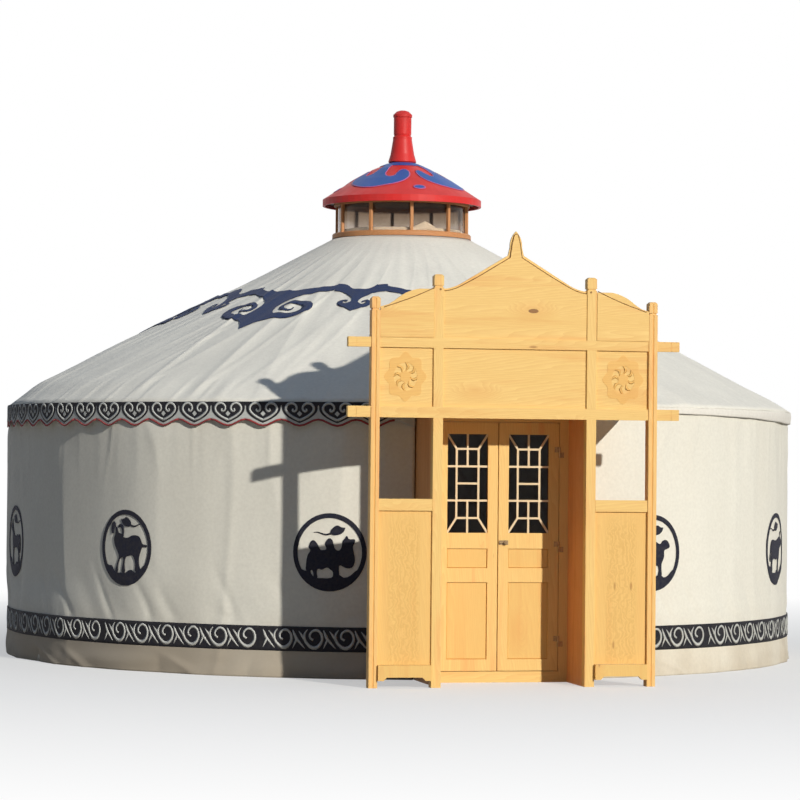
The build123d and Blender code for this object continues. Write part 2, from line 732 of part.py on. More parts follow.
# --- hinges: fixed knuckles on the jamb, turning knuckles on the leaf ---
hinge_x = leaf_x1 + JAMB_GAP / 2
hinge_y = door_y - PIN_RADIUS
lowest_hinge = leaf_low + HINGE_INSET
highest_hinge = leaf_top - HINGE_INSET
hinge_heights = (lowest_hinge, (lowest_hinge + highest_hinge) / 2, highest_hinge)


def hinge_half(low, reach):
    """A knuckle and its plate; a positive reach runs outwards over the jamb."""
    knuckle = Pos(hinge_x, hinge_y, low + KNUCKLE / 2) * Cylinder(PIN_RADIUS, KNUCKLE)
    hinge_plate = block(hinge_x, hinge_x + reach, door_y - HINGE_PLATE, door_y, low, low + KNUCKLE)
    web_half = HINGE_WEB / 2
    web = block(
        hinge_x - web_half, hinge_x + web_half, hinge_y, door_y - HINGE_PLATE, low, low + KNUCKLE
    )
    return knuckle + hinge_plate + web


fixed = [hinge_half(z - KNUCKLE, HINGE_LEAF) for z in hinge_heights]
turning = [hinge_half(z + HINGE_GAP, -HINGE_LEAF) for z in hinge_heights]
save_pair("jamb_hinges", Compound(fixed))
both_sides("door_hinges", Compound(turning))

# --- latch on the right leaf: a plate, a sliding bolt that reaches the meeting edge, a knob ---
plate_long, plate_thick, plate_tall = LATCH_PLATE
latch_x0 = leaf_x0 + LATCH_INSET
latch_face = door_y - plate_thick
latch_plate = block(
    latch_x0,
    latch_x0 + plate_long,
    latch_face,
    door_y,
    LATCH_HEIGHT - plate_tall / 2,
    LATCH_HEIGHT + plate_tall / 2,
)
bolt_centre = Pos(latch_x0 + BOLT_LENGTH / 2, latch_face - BOLT_RADIUS / 2, LATCH_HEIGHT)
bolt = bolt_centre * Rot(0, 90, 0) * Cylinder(BOLT_RADIUS, BOLT_LENGTH)
knob_x = latch_x0 + BOLT_LENGTH
stem_centre = Pos(knob_x, latch_face - KNOB_REACH / 2, LATCH_HEIGHT)
stem = stem_centre * Rot(90, 0, 0) * Cylinder(KNOB_STEM_RADIUS, KNOB_REACH)
knob_centre = Pos(knob_x, latch_face - KNOB_REACH + KNOB_THICKNESS / 2, LATCH_HEIGHT)
knob = knob_centre * Rot(90, 0, 0) * Cylinder(KNOB_RADIUS, KNOB_THICKNESS)
save("door_latch", latch_plate + bolt + stem + knob)
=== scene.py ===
# %% [markdown]
# # A felt yurt with a carved pine porch
#
# The yurt is a ring of lattice walls and roof poles under cream canvas, with a small glazed lantern,
# a red cap and a pine porch. The carpentry is already modelled, so this lesson adds what a maker would
# sew, paint and carve: canvas with folds, bands of appliqué, medallions, and the finish of each surface.

from math import cos, degrees, hypot, pi, radians, sin

import bmesh
import bpy
from mathutils import Matrix, Vector, noise


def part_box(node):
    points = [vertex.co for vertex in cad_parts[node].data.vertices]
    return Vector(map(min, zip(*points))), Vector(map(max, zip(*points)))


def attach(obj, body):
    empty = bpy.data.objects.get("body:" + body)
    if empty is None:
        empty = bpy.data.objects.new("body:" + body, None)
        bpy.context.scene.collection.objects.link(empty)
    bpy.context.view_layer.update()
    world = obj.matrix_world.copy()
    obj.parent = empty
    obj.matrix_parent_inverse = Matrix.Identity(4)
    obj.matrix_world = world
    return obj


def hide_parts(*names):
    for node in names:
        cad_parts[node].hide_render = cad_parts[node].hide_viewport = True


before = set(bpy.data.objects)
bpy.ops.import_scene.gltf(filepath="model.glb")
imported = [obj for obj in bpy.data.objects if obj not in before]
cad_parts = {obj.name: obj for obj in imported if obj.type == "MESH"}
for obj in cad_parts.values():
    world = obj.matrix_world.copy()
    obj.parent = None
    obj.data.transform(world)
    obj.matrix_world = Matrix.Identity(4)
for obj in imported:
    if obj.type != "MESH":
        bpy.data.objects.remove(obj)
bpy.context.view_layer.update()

# %% [markdown]
# ## Measures
#
# A tent is easiest to describe in its own terms: a bearing round the ring, counted from the door, and a
# height or a distance from the middle. Every measure is read from the carpentry, so cloth always fits it.

# %% Read the ring, the eave and the crown
WALL_RADIUS = max(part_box(f"wall_cover_{number}")[1].x for number in range(1, 5))
WALL_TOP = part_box("wall_cover_1")[1].z
SKIRT_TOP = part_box("ground_skirt")[1].z
EAVE_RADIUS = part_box("eave_hem")[1].x
EAVE_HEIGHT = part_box("eave_valance")[1].z
CROWN_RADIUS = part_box("lantern_head_ring")[1].x
CROWN_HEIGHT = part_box("roof_cover_1")[1].z
PORCH_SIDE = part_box("passage_walls")[1].x
ROOF_SLOPE = (CROWN_HEIGHT - EAVE_HEIGHT) / (EAVE_RADIUS - CROWN_RADIUS)
DOOR_BEARING = degrees(PORCH_SIDE / WALL_RADIUS) + 0.25
CLOTH_TURN = 360 - 2 * DOOR_BEARING
print(f"wall radius {WALL_RADIUS:.3f} m, eave height {EAVE_HEIGHT:.3f} m, roof slope {ROOF_SLOPE:.3f}")


def on_ring(bearing, radius, height):
    """A point at a bearing from the door, counted to the right as seen from outside."""
    angle = radians(bearing)
    return Vector((radius * sin(angle), -radius * cos(angle), height))


def between(low, high, share):
    """The value at a share of the way from low to high."""
    return low + (high - low) * share


# %% [markdown]
# ## How the canvas lies
#
# Canvas over a lattice is nearly round, yet it is never smooth. It hangs in soft upright folds, gathers
# where the rope pulls it in under the eave, and bunches where it meets the ground. Cloth could be
# simulated, but a stretched wall barely moves, so smooth noise that is long upright and short sideways
# gives the same folds every time. On its left side the wall also has one kink, one hollow and one belly.
# One function says where the wall cloth is, and everything sewn to it uses that function, so a band or a
# medallion follows each fold.

# %% Say where the wall cloth lies
KINK, HOLLOW, BELLY = -45.9, -76, -103
KINK_HALF_TURN = 9


def ripple(bearing, height, across, upright, seed):
    """Smooth noise round the ring, from -1 to 1: across and upright are in ripples per metre."""
    spot = on_ring(bearing, WALL_RADIUS * across, height * upright)
    return noise.noise(spot + Vector((seed, seed * 0.7, seed * 0.3)))


def fade(value, start, end):
    """0 before start and 1 after end, with a soft step between; end may be below start."""
    share = min(1.0, max(0.0, (value - start) / (end - start)))
    return share * share * (3 - 2 * share)


def crease(bearing, height, across, upright, seed):
    """Narrow folds from 0 to 1 that wander between the ripples."""
    return max(0.0, 1 - 6.5 * abs(ripple(bearing, height, across, upright, seed))) ** 1.5


def tent_shaped(bearing, middle, half_turn):
    """1 at a middle bearing, falling straight to 0 at half a turn either side."""
    return max(0.0, 1 - abs((bearing + 180) % 360 - 180 - middle) / half_turn)


def facing(bearing, middle, start):
    """1 at a middle bearing, fading to 0 where the cosine of the turn away from it drops to start."""
    return fade(cos(radians(bearing - middle)), start, 1.0)


def wall_point(bearing, height, lift=0.0):
    """A point on the wall cloth, raised by lift."""
    fold = 0.018 * ripple(bearing, height, 0.75, 0.10, 3.1)
    fold += 0.013 * ripple(bearing, height, 2.1, 0.16, 7.7)
    fold += 0.006 * crease(bearing, height, 1.5, 0.22, 12.4)
    between_hems = fade(height, 0.42, 0.75) * fade(height, 2.15, 1.9)
    bulge = 0.024 * tent_shaped(bearing, KINK, KINK_HALF_TURN)
    bulge += 0.026 * facing(bearing, BELLY, 0.90) - 0.030 * facing(bearing, HOLLOW, 0.93)
    under_eave = fade(height, 1.35, 2.0)
    gather = 0.006 * crease(bearing, height, 3.4, 0.5, 1.9) + 0.005 * ripple(bearing, height, 9.0, 0.8, 21.9)
    above_band = fade(height, 0.38, 0.46) * fade(height, 0.95, 0.50)
    leaning = bearing + 11 * height
    slump = 0.008 * ripple(leaning, height, 4.5, 0.9, 15.3) - 0.012 * crease(leaning, height, 1.9, 0.7, 5.3)
    below_band = fade(height, 0.22, 0.06)
    heap = 0.013 * ripple(bearing, height, 3.0, 2.4, 9.2)
    fold += bulge * between_hems + gather * under_eave + slump * above_band + heap * below_band
    return on_ring(bearing, WALL_RADIUS - 0.004 + fold + lift, height)


print("wall cloth at the door side:", [round(part, 3) for part in wall_point(DOOR_BEARING, 1.0)])

# %% [markdown]
# ## How the roof lies
#
# The roof cloth is dragged over the poles from one side, so its folds run down askew and grow towards the
# eave. It stands slack on the left and lies taut on the right, puckers where the eave rope holds it, and
# sags a little between poles.

# %% Say where the roof cloth lies
POLE_COUNT = 60
SLACK, TAUT = -100, 90


def roof_point(bearing, radius, lift=0.0):
    """A point on the roof cloth at a distance from the middle, raised by lift."""
    share = (radius - CROWN_RADIUS) / (EAVE_RADIUS - CROWN_RADIUS)
    middle = sin(pi * share)
    askew = bearing + 16 * (share - 1)
    broad = 0.026 * ripple(askew, 0, 0.55, 0, 4.4 + 0.5 * share)
    broad += 0.015 * ripple(askew, 0, 1.5, 0, 8.8 + 0.6 * share)
    sag = 0.0025 * cos(POLE_COUNT * radians(bearing)) - 0.006
    lower = fade(share, 0.0, 0.55) * fade(share, 1.0, 0.93)
    dragged = 0.014 * crease(bearing - 3 * share, 0, 1.25, 0, 31.7 + 0.25 * share)
    dragged += 0.008 * crease(askew, 0, 3.0, 0, 17.1 + 0.5 * share)
    inward = EAVE_RADIUS - radius
    near_rope = fade(inward, 0.45, 0.10) * fade(inward, 0.0, 0.08)
    pucker = 0.010 * ripple(bearing, 0, 6.5, 0, 2.2 + radius) + 0.010 * crease(bearing, 0, 5.0, 0, 27.2)
    outer = fade(share, 0.2, 0.8) * fade(share, 1.0, 0.9)
    slack = 0.055 * facing(bearing, SLACK, 0.2) - 0.010 * facing(bearing, TAUT, 0.2)
    fold = (broad + sag) * middle + dragged * lower + pucker * near_rope + slack * outer
    height = CROWN_HEIGHT - (radius - CROWN_RADIUS) * ROOF_SLOPE + fold + lift
    return on_ring(bearing, radius + 0.4 * lift, height)


print("roof cloth over the door:", [round(part, 3) for part in roof_point(0, 2.0)])

# %% [markdown]
# ## Tools for materials
#
# A material is a small graph of nodes. One helper adds a node and fills in its inputs, either with a
# plain value or with another node's output, which keeps each recipe short enough to read. The others are
# the steps that come back in every recipe.

# %% Add nodes
def fill_in(tree, node, inputs):
    """Give a node its inputs, by name or number: an output is linked, and a plain value is set."""
    for name, value in dict(inputs).items():
        socket = node.inputs[name]
        if isinstance(value, bpy.types.NodeSocket):
            tree.links.new(value, socket)
        else:
            socket.default_value = (*value, 1) if socket.type == "RGBA" else value


def add_node(tree, kind, inputs=(), **settings):
    """A new node with its settings and inputs."""
    node = tree.nodes.new("ShaderNode" + kind)
    for name, value in settings.items():
        setattr(node, name, value)
    fill_in(tree, node, inputs)
    return node


def mix_colours(tree, share, first, second):
    """The output of a colour mix."""
    return add_node(tree, "Mix", {0: share, 6: first, 7: second}, data_type="RGBA").outputs[2]


def calculate(tree, operation, *values):
    """The output of a Math node."""
    return add_node(tree, "Math", enumerate(values), operation=operation).outputs[0]


def product(tree, *values):
    """The output of values multiplied together."""
    result = values[0]
    for value in values[1:]:
        result = calculate(tree, "MULTIPLY", result, value)
    return result


def spread(tree, value, low, high, to_low=0.0, to_high=1.0):
    """A value between low and high spread over to_low to_high, clamped."""
    return add_node(tree, "MapRange", {0: value, 1: low, 2: high, 3: to_low, 4: to_high}).outputs[0]


def place_on(tree):
    """The place on the finished piece."""
    return add_node(tree, "TexCoord").outputs["Object"]


def part_of(tree, vector, part):
    """The X, Y or Z of a vector."""
    return add_node(tree, "SeparateXYZ", {0: vector}).outputs[part]


def resized(tree, vector, scale):
    """A pattern's place, squeezed or stretched."""
    return add_node(tree, "Mapping", {"Vector": vector, "Scale": scale}).outputs[0]


def cloudy(tree, vector, scale, detail, roughness=0.5):
    """Smooth noise from 0 to 1."""
    inputs = {"Vector": vector, "Scale": scale, "Detail": detail, "Roughness": roughness}
    return add_node(tree, "TexNoise", inputs).outputs["Fac"]


print("node tools ready")

# %% [markdown]
# ## Tools for whole materials
#
# What varies over a piece comes in by links: its colour, its roughness and its relief. Relief is only a
# bump, because threads and grain are too fine to model. A recipe that several materials share is a group,
# and each material gives the group its own dyes.

# %% Make materials and groups
def bump(tree, shader, height, distance, strength):
    """Feed a height to the shader's normal, on top of the bump that it has."""
    inputs = {"Height": height, "Distance": distance, "Strength": strength}
    if shader.inputs["Normal"].is_linked:
        inputs["Normal"] = shader.inputs["Normal"].links[0].from_socket
    fill_in(tree, shader, {"Normal": add_node(tree, "Bump", inputs).outputs[0]})


def new_material(name, inputs):
    """A material, its tree and its Principled shader with plain values."""
    material = bpy.data.materials.new(name)
    material.use_nodes = True
    shader = material.node_tree.nodes["Principled BSDF"]
    fill_in(material.node_tree, shader, inputs)
    return material, material.node_tree, shader


def stain(material, share, colour):
    """Mix one more colour over a finished material."""
    tree = material.node_tree
    shader = tree.nodes["Principled BSDF"]
    clean = shader.inputs["Base Color"].links[0].from_socket
    fill_in(tree, shader, {"Base Color": mix_colours(tree, share, clean, colour)})


def new_group(name, inputs):
    """A shader group with inputs of a kind each; it gives a colour, a roughness and a relief."""
    group = bpy.data.node_groups.new(name, "ShaderNodeTree")
    outputs = {"Colour": "Color", "Roughness": "Float", "Relief": "Float"}
    for way, sockets in (("INPUT", inputs), ("OUTPUT", outputs)):
        for socket_name, kind in sockets.items():
            group.interface.new_socket(socket_name, in_out=way, socket_type="NodeSocket" + kind)
    return group, group.nodes.new("NodeGroupInput").outputs, group.nodes.new("NodeGroupOutput")


def grouped_material(name, group, values, inputs, relief):
    """A material whose colour, roughness and relief come from a group; relief is a depth and a strength."""
    material, tree, shader = new_material(name, inputs)
    made = add_node(tree, "Group", node_tree=group)
    fill_in(tree, made, values)
    fill_in(tree, shader, {"Base Color": made.outputs["Colour"], "Roughness": made.outputs["Roughness"]})
    bump(tree, shader, made.outputs["Relief"], *relief)
    return material


print("material tools ready")

# %% [markdown]
# ## Woven cloth
#
# Canvas shows three scales at once: the weave of its threads, soft cloudy patches where sun and rain
# have bleached it, and dust near the ground. The weave is two crossed waves along the cloth's own UV,
# which is in metres, so threads follow the cloth. Patches and dust are noise on Object coordinates.
# It is a group, because wall, roof, hem and appliqué all use it with other values.

# %% Build the cloth group
THREADS_PER_METRE = 420.0


def build_cloth_group():
    """Colour, roughness and threads of woven cloth."""
    group, given, out = new_group(
        "Woven cloth", {"Colour": "Color", "Patch colour": "Color", "Patch share": "Float", "Dust": "Float"})
    place = add_node(group, "TexCoord").outputs
    threads = {"Vector": place["UV"], "Scale": THREADS_PER_METRE}
    warp, weft = (add_node(group, "TexWave", threads, bands_direction=way).outputs["Fac"] for way in "XY")
    patches = cloudy(group, resized(group, place["Object"], (1.0, 1.0, 0.35)), 1.6, 5.0)
    fine = cloudy(group, place["Object"], 38.0, 3.0)
    patch = product(group, spread(group, patches, 0.35, 0.7), given["Patch share"])
    patched = mix_colours(group, patch, given["Colour"], given["Patch colour"])
    low = spread(group, part_of(group, place["Object"], "Z"), 0.55, 0.0)
    dust = product(group, low, given["Dust"], spread(group, patches, 0.3, 0.6, 0.4, 1.0))
    dusty = mix_colours(group, dust, patched, (0.42, 0.33, 0.22))
    toned = mix_colours(group, spread(group, fine, 0.3, 0.7, 0.0, 0.10), dusty, (0.25, 0.22, 0.18))
    fill_in(group, out, {"Colour": toned, "Roughness": spread(group, fine, 0.3, 0.7, 0.80, 0.95),
                         "Relief": calculate(group, "MAXIMUM", warp, weft)})
    return group


cloth_group = build_cloth_group()
print("cloth group has", len(cloth_group.nodes), "nodes")

# %% [markdown]
# ## Dyes and bleached canvas
#
# The wall, the roof and the hem are canvas in nearly the same cream, each bleached in its own way; the
# roof's cream is a little paler, which is painted skylight on the slope. The appliqué cloths are matt: nearly
# black, navy and ink-blue, with pale scrolls and a red piping. The skirt lies on the ground, so it is soiled,
# and it is darker towards its left side.

# %% Mix the cloths
def cloth_material(name, colour, patch_colour, dust, patch_share=0.4, sheen=0.15):
    """Woven cloth in one dye."""
    values = {"Colour": colour, "Patch colour": patch_colour, "Patch share": patch_share, "Dust": dust}
    inputs = {"Sheen Weight": sheen, "Sheen Roughness": 0.6, "Specular IOR Level": 0.2}
    return grouped_material(name, cloth_group, values, inputs, (0.0004, 0.5))


wall_canvas = cloth_material("Wall canvas", (0.86, 0.845, 0.76), (0.73, 0.70, 0.61), dust=0.45)
skirt_canvas = cloth_material("Skirt canvas", (0.92, 0.88, 0.76), (0.66, 0.58, 0.45), 0.5, patch_share=0.6)
# The roof's cream is paler than the wall's: painted skylight on the slope.
roof_canvas = cloth_material("Roof canvas", (0.92, 0.90, 0.815), (0.77, 0.755, 0.69), 0.0, patch_share=0.55)
white_canvas = cloth_material("White hem canvas", (0.86, 0.84, 0.78), (0.74, 0.71, 0.64), dust=0.0)
navy_cloth = cloth_material("Navy appliqué", (0.013, 0.032, 0.105), (0.022, 0.048, 0.135), 0.0, sheen=0.05)
black_cloth = cloth_material("Black appliqué", (0.008, 0.009, 0.016), (0.016, 0.017, 0.028), 0.0, sheen=0.02)
ink_cloth = cloth_material("Ink-blue appliqué", (0.009, 0.011, 0.026), (0.016, 0.020, 0.042), 0.0, sheen=0.02)
pale_cloth = cloth_material("Pale scroll cloth", (0.62, 0.64, 0.62), (0.48, 0.50, 0.50), dust=0.2)
red_cloth = cloth_material("Red piping", (0.36, 0.030, 0.035), (0.26, 0.030, 0.040), dust=0.0)

skirt_tree = skirt_canvas.node_tree
# The skirt is made darker towards its left side.
leftward = spread(skirt_tree, part_of(skirt_tree, place_on(skirt_tree), "X"), 0.8, -2.4, 0.0, 0.9)
stain(skirt_canvas, leftward, (0.42, 0.36, 0.28))
print("cloth materials:", wall_canvas.name, roof_canvas.name, navy_cloth.name)

# %% [markdown]
# ## Tools for pieces
#
# Cloth starts as a flat grid of the size it was cut to, and each point is then carried to its place.
# The grid's UV keeps the flat size, so the weave is never stretched. A Solidify modifier gives it its
# thickness, which closes the sheet.

# %% Make a piece, and make a cloth sheet
def make_piece(name, bm, material, smooth=True):
    """Turn a bmesh into a finished piece that moves with the tent."""
    mesh = bpy.data.meshes.new(name)
    bm.to_mesh(mesh)
    bm.free()
    if smooth:
        mesh.shade_smooth()
    mesh.materials.append(material)
    piece = bpy.data.objects.new(name, mesh)
    bpy.context.scene.collection.objects.link(piece)
    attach(piece, "tent")
    return piece


def make_sheet(name, flat, cells, carry, material, thickness=0.003, wrap=False):
    """A closed cloth sheet: a flat grid that carry(u, v) takes to its place; wrap sews its ends together."""
    bm = bmesh.new()
    layer = bm.loops.layers.uv.new("UVMap")
    bmesh.ops.create_grid(bm, x_segments=cells[0], y_segments=cells[1], size=0.5)
    for face in bm.faces:
        for loop in face.loops:
            loop[layer].uv = ((loop.vert.co.x + 0.5) * flat[0], (loop.vert.co.y + 0.5) * flat[1])
    for vert in bm.verts:
        vert.co = carry(vert.co.x + 0.5, vert.co.y + 0.5)
    if wrap:
        bmesh.ops.remove_doubles(bm, verts=bm.verts, dist=0.0001)
    piece = make_piece(name, bm, material)
    shell = piece.modifiers.new("Cloth thickness", "SOLIDIFY")
    shell.thickness = thickness
    shell.offset = -1.0
    return piece


def round_ring(point, start, turn, low, high):
    """A carrier for a strip: u runs round the ring from a bearing, and v from a low measure to a high one."""
    return lambda u, v: point(start + turn * u, between(low, high, v))


print("piece tools ready")

# %% [markdown]
# ## Wall canvases
#
# The wall cover is four widths of canvas that meet at laced seams, and stop either side of the door.
# Each width stands for one of the plain solids, so it hides that solid and hangs in its place.

# %% Hang the wall
WIDTH_TURN = CLOTH_TURN / 4
EDGE_GAP = 0.004
low, high = EDGE_GAP, WALL_TOP - EDGE_GAP
canvas_flat = (radians(WIDTH_TURN) * WALL_RADIUS, high - low)
for number in range(4):
    carry = round_ring(wall_point, DOOR_BEARING + number * WIDTH_TURN, WIDTH_TURN, low, high)
    name = f"wall_canvas_{number + 1}"
    canvas = make_sheet(name, canvas_flat, (230, 70), carry, wall_canvas, 0.004)
    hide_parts(f"wall_cover_{number + 1}")
print(f"each wall canvas is {canvas_flat[0]:.2f} x {canvas_flat[1]:.2f} m")

# %% [markdown]
# ## Ground skirt
#
# A separate strip is tied round the foot of the wall and heaped on the ground to keep draughts out. It
# hangs looser than the wall, so it bulges between its ties, and its top edge tucks under the dark band.

# %% Hang the skirt
SKIRT_TUCK = 0.012


def skirt_point(bearing, height):
    """A point on the skirt: looser towards the ground."""
    free = fade(height, SKIRT_TOP, 0.04)
    slack = 1 + 1.3 * ripple(bearing, height, 2.2, 7.0, 6.6)
    slack += 1.1 * ripple(bearing - 30 * height, height, 1.4, 2.0, 16.6)
    pulled = crease(bearing + 40 * height, height, 1.1, 1.5, 26.6)
    pulled -= 0.8 * crease(bearing, height, 0.9, 0.4, 36.6)
    return wall_point(bearing, height, 0.006 + 0.012 * free * slack + 0.014 * free * pulled)


skirt_flat = (radians(CLOTH_TURN) * (WALL_RADIUS + 0.01), SKIRT_TOP + 0.02)
carry = round_ring(skirt_point, DOOR_BEARING, CLOTH_TURN, 0.0, SKIRT_TOP + SKIRT_TUCK)
skirt = make_sheet("skirt_cloth", skirt_flat, (1000, 16), carry, skirt_canvas)
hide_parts("ground_skirt")
print(f"skirt is {skirt_flat[0]:.1f} m round")

# %% [markdown]
# ## Roof canvases
#
# The roof is two half cones of canvas laced together over the side poles. A half cone opened flat is a
# fan, so its cut is given as the fan's area. The cloth is laid by the roof function above, so it keeps
# the askew folds and the puckers under the eave rope.

# %% Lay the roof
SLANT = hypot(EAVE_RADIUS - CROWN_RADIUS, CROWN_HEIGHT - EAVE_HEIGHT)
grid_flat = (pi * EAVE_RADIUS, SLANT)
for number, first in enumerate((-90, 90)):
    carry = round_ring(roof_point, first, 180, EAVE_RADIUS - 0.004, CROWN_RADIUS + 0.002)
    cover = make_sheet(f"roof_canvas_{number + 1}", grid_flat, (560, 46), carry, roof_canvas, 0.005)
    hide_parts(f"roof_cover_{number + 1}")

# %% [markdown]
# ## Eave hem
#
# The roof's edge is turned down over the wall and finished with a plain white hem, which shows to the
# right of the porch and hides under the patterned valance everywhere else. It is turned up short just
# right of the door, and hangs deeper on the right side.

# %% Sew the hem
HEM_DEPTH = 0.075


def hem_point(bearing, drop):
    """A point on the hem, drop metres below the eave."""
    pucker = 0.004 * ripple(bearing, drop, 6.0, 1.5, 2.2) + 0.003 * ripple(bearing, drop, 1.5, 1.0, 5.9)
    drop *= 1 - 0.30 * facing(bearing, 22, 0.75) + 0.35 * facing(bearing, 95, 0.3)
    drop += 0.006 * ripple(bearing, 0.0, 2.0, 0.0, 40.1) * drop / HEM_DEPTH
    roll = 0.005 * sin(pi * min(1.0, drop / HEM_DEPTH))
    return on_ring(bearing, EAVE_RADIUS - 0.006 + roll + pucker, EAVE_HEIGHT - 0.001 - drop)


hem_flat = (2 * pi * EAVE_RADIUS, HEM_DEPTH)
carry = round_ring(hem_point, 0, 360, HEM_DEPTH, 0.0)
hem = make_sheet("hem_canvas", hem_flat, (720, 6), carry, white_canvas, 0.008, wrap=True)
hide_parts("eave_hem")
print("hem depth", HEM_DEPTH)

# %% [markdown]
# ## Lining at the lantern's foot
#
# The inner lining of the roof is turned up behind the lantern's panes, where it shows as a narrow cream
# strip. At one pane it is bunched up into a peak.

# %% Turn up the lining
LINING_RADIUS = 0.560
LINING_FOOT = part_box("lantern_glass")[0].z + 0.004
LINING_RISE, LINING_PEAK = 0.030, 0.055
PEAK, PEAK_HALF_TURN = 11.0, 12.0


def lining_point(bearing, share):
    """A point on the turned-up lining; share runs from its foot to its top edge."""
    rise = LINING_RISE + LINING_PEAK * tent_shaped(bearing, PEAK, PEAK_HALF_TURN)
    return on_ring(bearing, LINING_RADIUS - 0.02 * share, LINING_FOOT + share * rise)


lining_flat = (2 * pi * LINING_RADIUS, 0.040)
carry = round_ring(lining_point, 0, 360, 0.0, 1.0)
lining = make_sheet("lantern_lining", lining_flat, (360, 3), carry, white_canvas, wrap=True)
print(f"lining turned up at {LINING_FOOT:.3f} m")

# %% [markdown]
# ## Flat shapes and ribbons for appliqué
#
# Appliqué is cut from flat cloth, so its shapes are drawn as flat curves, in millimetres like a paper
# pattern: filled outlines for broad shapes, and tapering ribbons for scrolls. A curve gives smooth edges
# from a few points. It is made a mesh before it is laid, because only then can it bend over the folds of
# the cloth below.

# %% Draw flat shapes and ribbons
def in_metres(points):
    """Points drawn in millimetres."""
    return [tuple(part / 1000 for part in point) for point in points]


def mirrored(points):
    """The same points on the other side of the middle line, in the opposite order."""
    return [(-point[0], *point[1:]) for point in reversed(points)]


def circle_points(radius):
    """Points round a circle."""
    return oval_points(radius, radius, 24)


def oval_points(width, height, count, up=0.0):
    """Points round an oval that reaches a width and a height from its middle."""
    turns = (2 * pi * step / count for step in range(count))
    return [(width * cos(turn), up + height * sin(turn)) for turn in turns]


def as_line(points, half_width):
    """Points of a ribbon with one width all along."""
    return [(u, v, half_width) for u, v in points]


def curve_mesh(curve):
    """The closed mesh of a curve."""
    holder = bpy.data.objects.new("drawing", curve)
    mesh = bpy.data.meshes.new_from_object(holder)
    bpy.data.objects.remove(holder)
    bpy.data.curves.remove(curve)
    return mesh


def add_spline(curve, points, closed, corners=()):
    """A smooth line through points (u, v, optional half width); corners names the sharp ones."""
    spline = curve.splines.new("BEZIER")
    spline.bezier_points.add(len(points) - 1)
    spline.use_cyclic_u = closed
    for number, (knot, point) in enumerate(zip(spline.bezier_points, points)):
        knot.co = (point[0], point[1], 0)
        knot.radius = point[2] if len(point) > 2 else 1
        knot.handle_left_type = knot.handle_right_type = "VECTOR" if number in corners else "AUTO"


def cut_shape(outline, hole=(), corners=(), thickness=0.003, smoothness=4):
    """A flat plate from a closed outline, with or without a hole."""
    curve = bpy.data.curves.new("outline", "CURVE")
    curve.dimensions = "2D"
    curve.fill_mode = "BOTH"
    curve.extrude = thickness / 2
    curve.resolution_u = smoothness
    add_spline(curve, outline, True, corners)
    if hole:
        add_spline(curve, hole, True)
    return curve_mesh(curve)


def cut_ribbon(points, flatness=0.22, smoothness=3, corners=()):
    """A tapering ribbon along points (u, v, half width), with a low ridge down its middle."""
    curve = bpy.data.curves.new("ribbon", "CURVE")
    curve.dimensions = "3D"
    curve.bevel_depth = 1.0
    curve.bevel_resolution = 0
    curve.use_fill_caps = True
    curve.twist_mode = "Z_UP"
    curve.resolution_u = smoothness
    add_spline(curve, points, False, corners)
    mesh = curve_mesh(curve)
    mesh.transform(Matrix.Diagonal((1, 1, flatness, 1)))
    return mesh


def cut_pair(points, flatness=0.22, smoothness=3):
    """A ribbon and its mirror image."""
    return [cut_ribbon(line, flatness, smoothness) for line in (points, mirrored(points))]


print("appliqué curves ready")

# %% [markdown]
# ## Laying shapes on cloth
#
# One drawing is laid at many places. A long flat face could not bend round the wall, so a wide shape is
# first sliced on a fine grid, and every point is then carried to its place by itself.

# %% Slice a drawing and lay its copies
def sliced(bm, cut):
    """Cut a drawing along a grid of lines that are cut metres apart."""
    for axis in (0, 1):
        normal = Vector((axis == 0, axis == 1, 0))
        reach = [vert.co[axis] for vert in bm.verts]
        for line in range(int(min(reach) // cut) + 1, int(max(reach) // cut) + 1):
            whole = bm.verts[:] + bm.edges[:] + bm.faces[:]
            spot = normal * (line * cut)
            bmesh.ops.bisect_plane(bm, geom=whole, plane_co=spot, plane_no=normal, dist=0.00001)


def pattern_piece(name, shapes, spots, carry, material, cut=0.0):
    """Copies of flat shapes laid at spots; carry(spot, u, v, w) places each point."""
    stencil = bmesh.new()
    for shape in shapes:
        stencil.from_mesh(shape)
    bmesh.ops.remove_doubles(stencil, verts=stencil.verts, dist=0.00005)
    if cut:
        sliced(stencil, cut)
    bmesh.ops.triangulate(stencil, faces=[face for face in stencil.faces if len(face.verts) > 4])
    bmesh.ops.recalc_face_normals(stencil, faces=stencil.faces)
    mesh = bpy.data.meshes.new("stencil")
    stencil.to_mesh(mesh)
    stencil.free()
    bm = bmesh.new()
    for spot in spots:
        start = len(bm.verts)
        bm.from_mesh(mesh)
        bm.verts.ensure_lookup_table()
        for vert in bm.verts[start:]:
            vert.co = carry(spot, *vert.co)
    bpy.data.meshes.remove(mesh)
    print(f"{name}: {len(bm.faces)} faces in {len(spots)} places")
    make_piece(name, bm, material, smooth=False)


print("appliqué tools ready")

# %% [markdown]
# ## Valance
#
# From the right-hand back corner round the left side to the porch hangs a patterned valance of pale cloth
# with a scalloped edge. It is one long sheet, and one function says how deep its edge hangs, so that
# whatever is sewn to the scallops can follow them.

# %% Hang the valance cloth
VALANCE_START, VALANCE_END = 108.0, 360 - DOOR_BEARING
VALANCE_TURN = VALANCE_END - VALANCE_START
VALANCE_DEPTH = EAVE_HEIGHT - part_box("eave_valance")[0].z
SCALLOP = 0.050
FIRST_HEART = VALANCE_END - 5.1
HEART_TURN = 4.95
HEART_WIDTH = radians(HEART_TURN) * EAVE_RADIUS
hearts = [FIRST_HEART - HEART_TURN * number for number in range(48)]


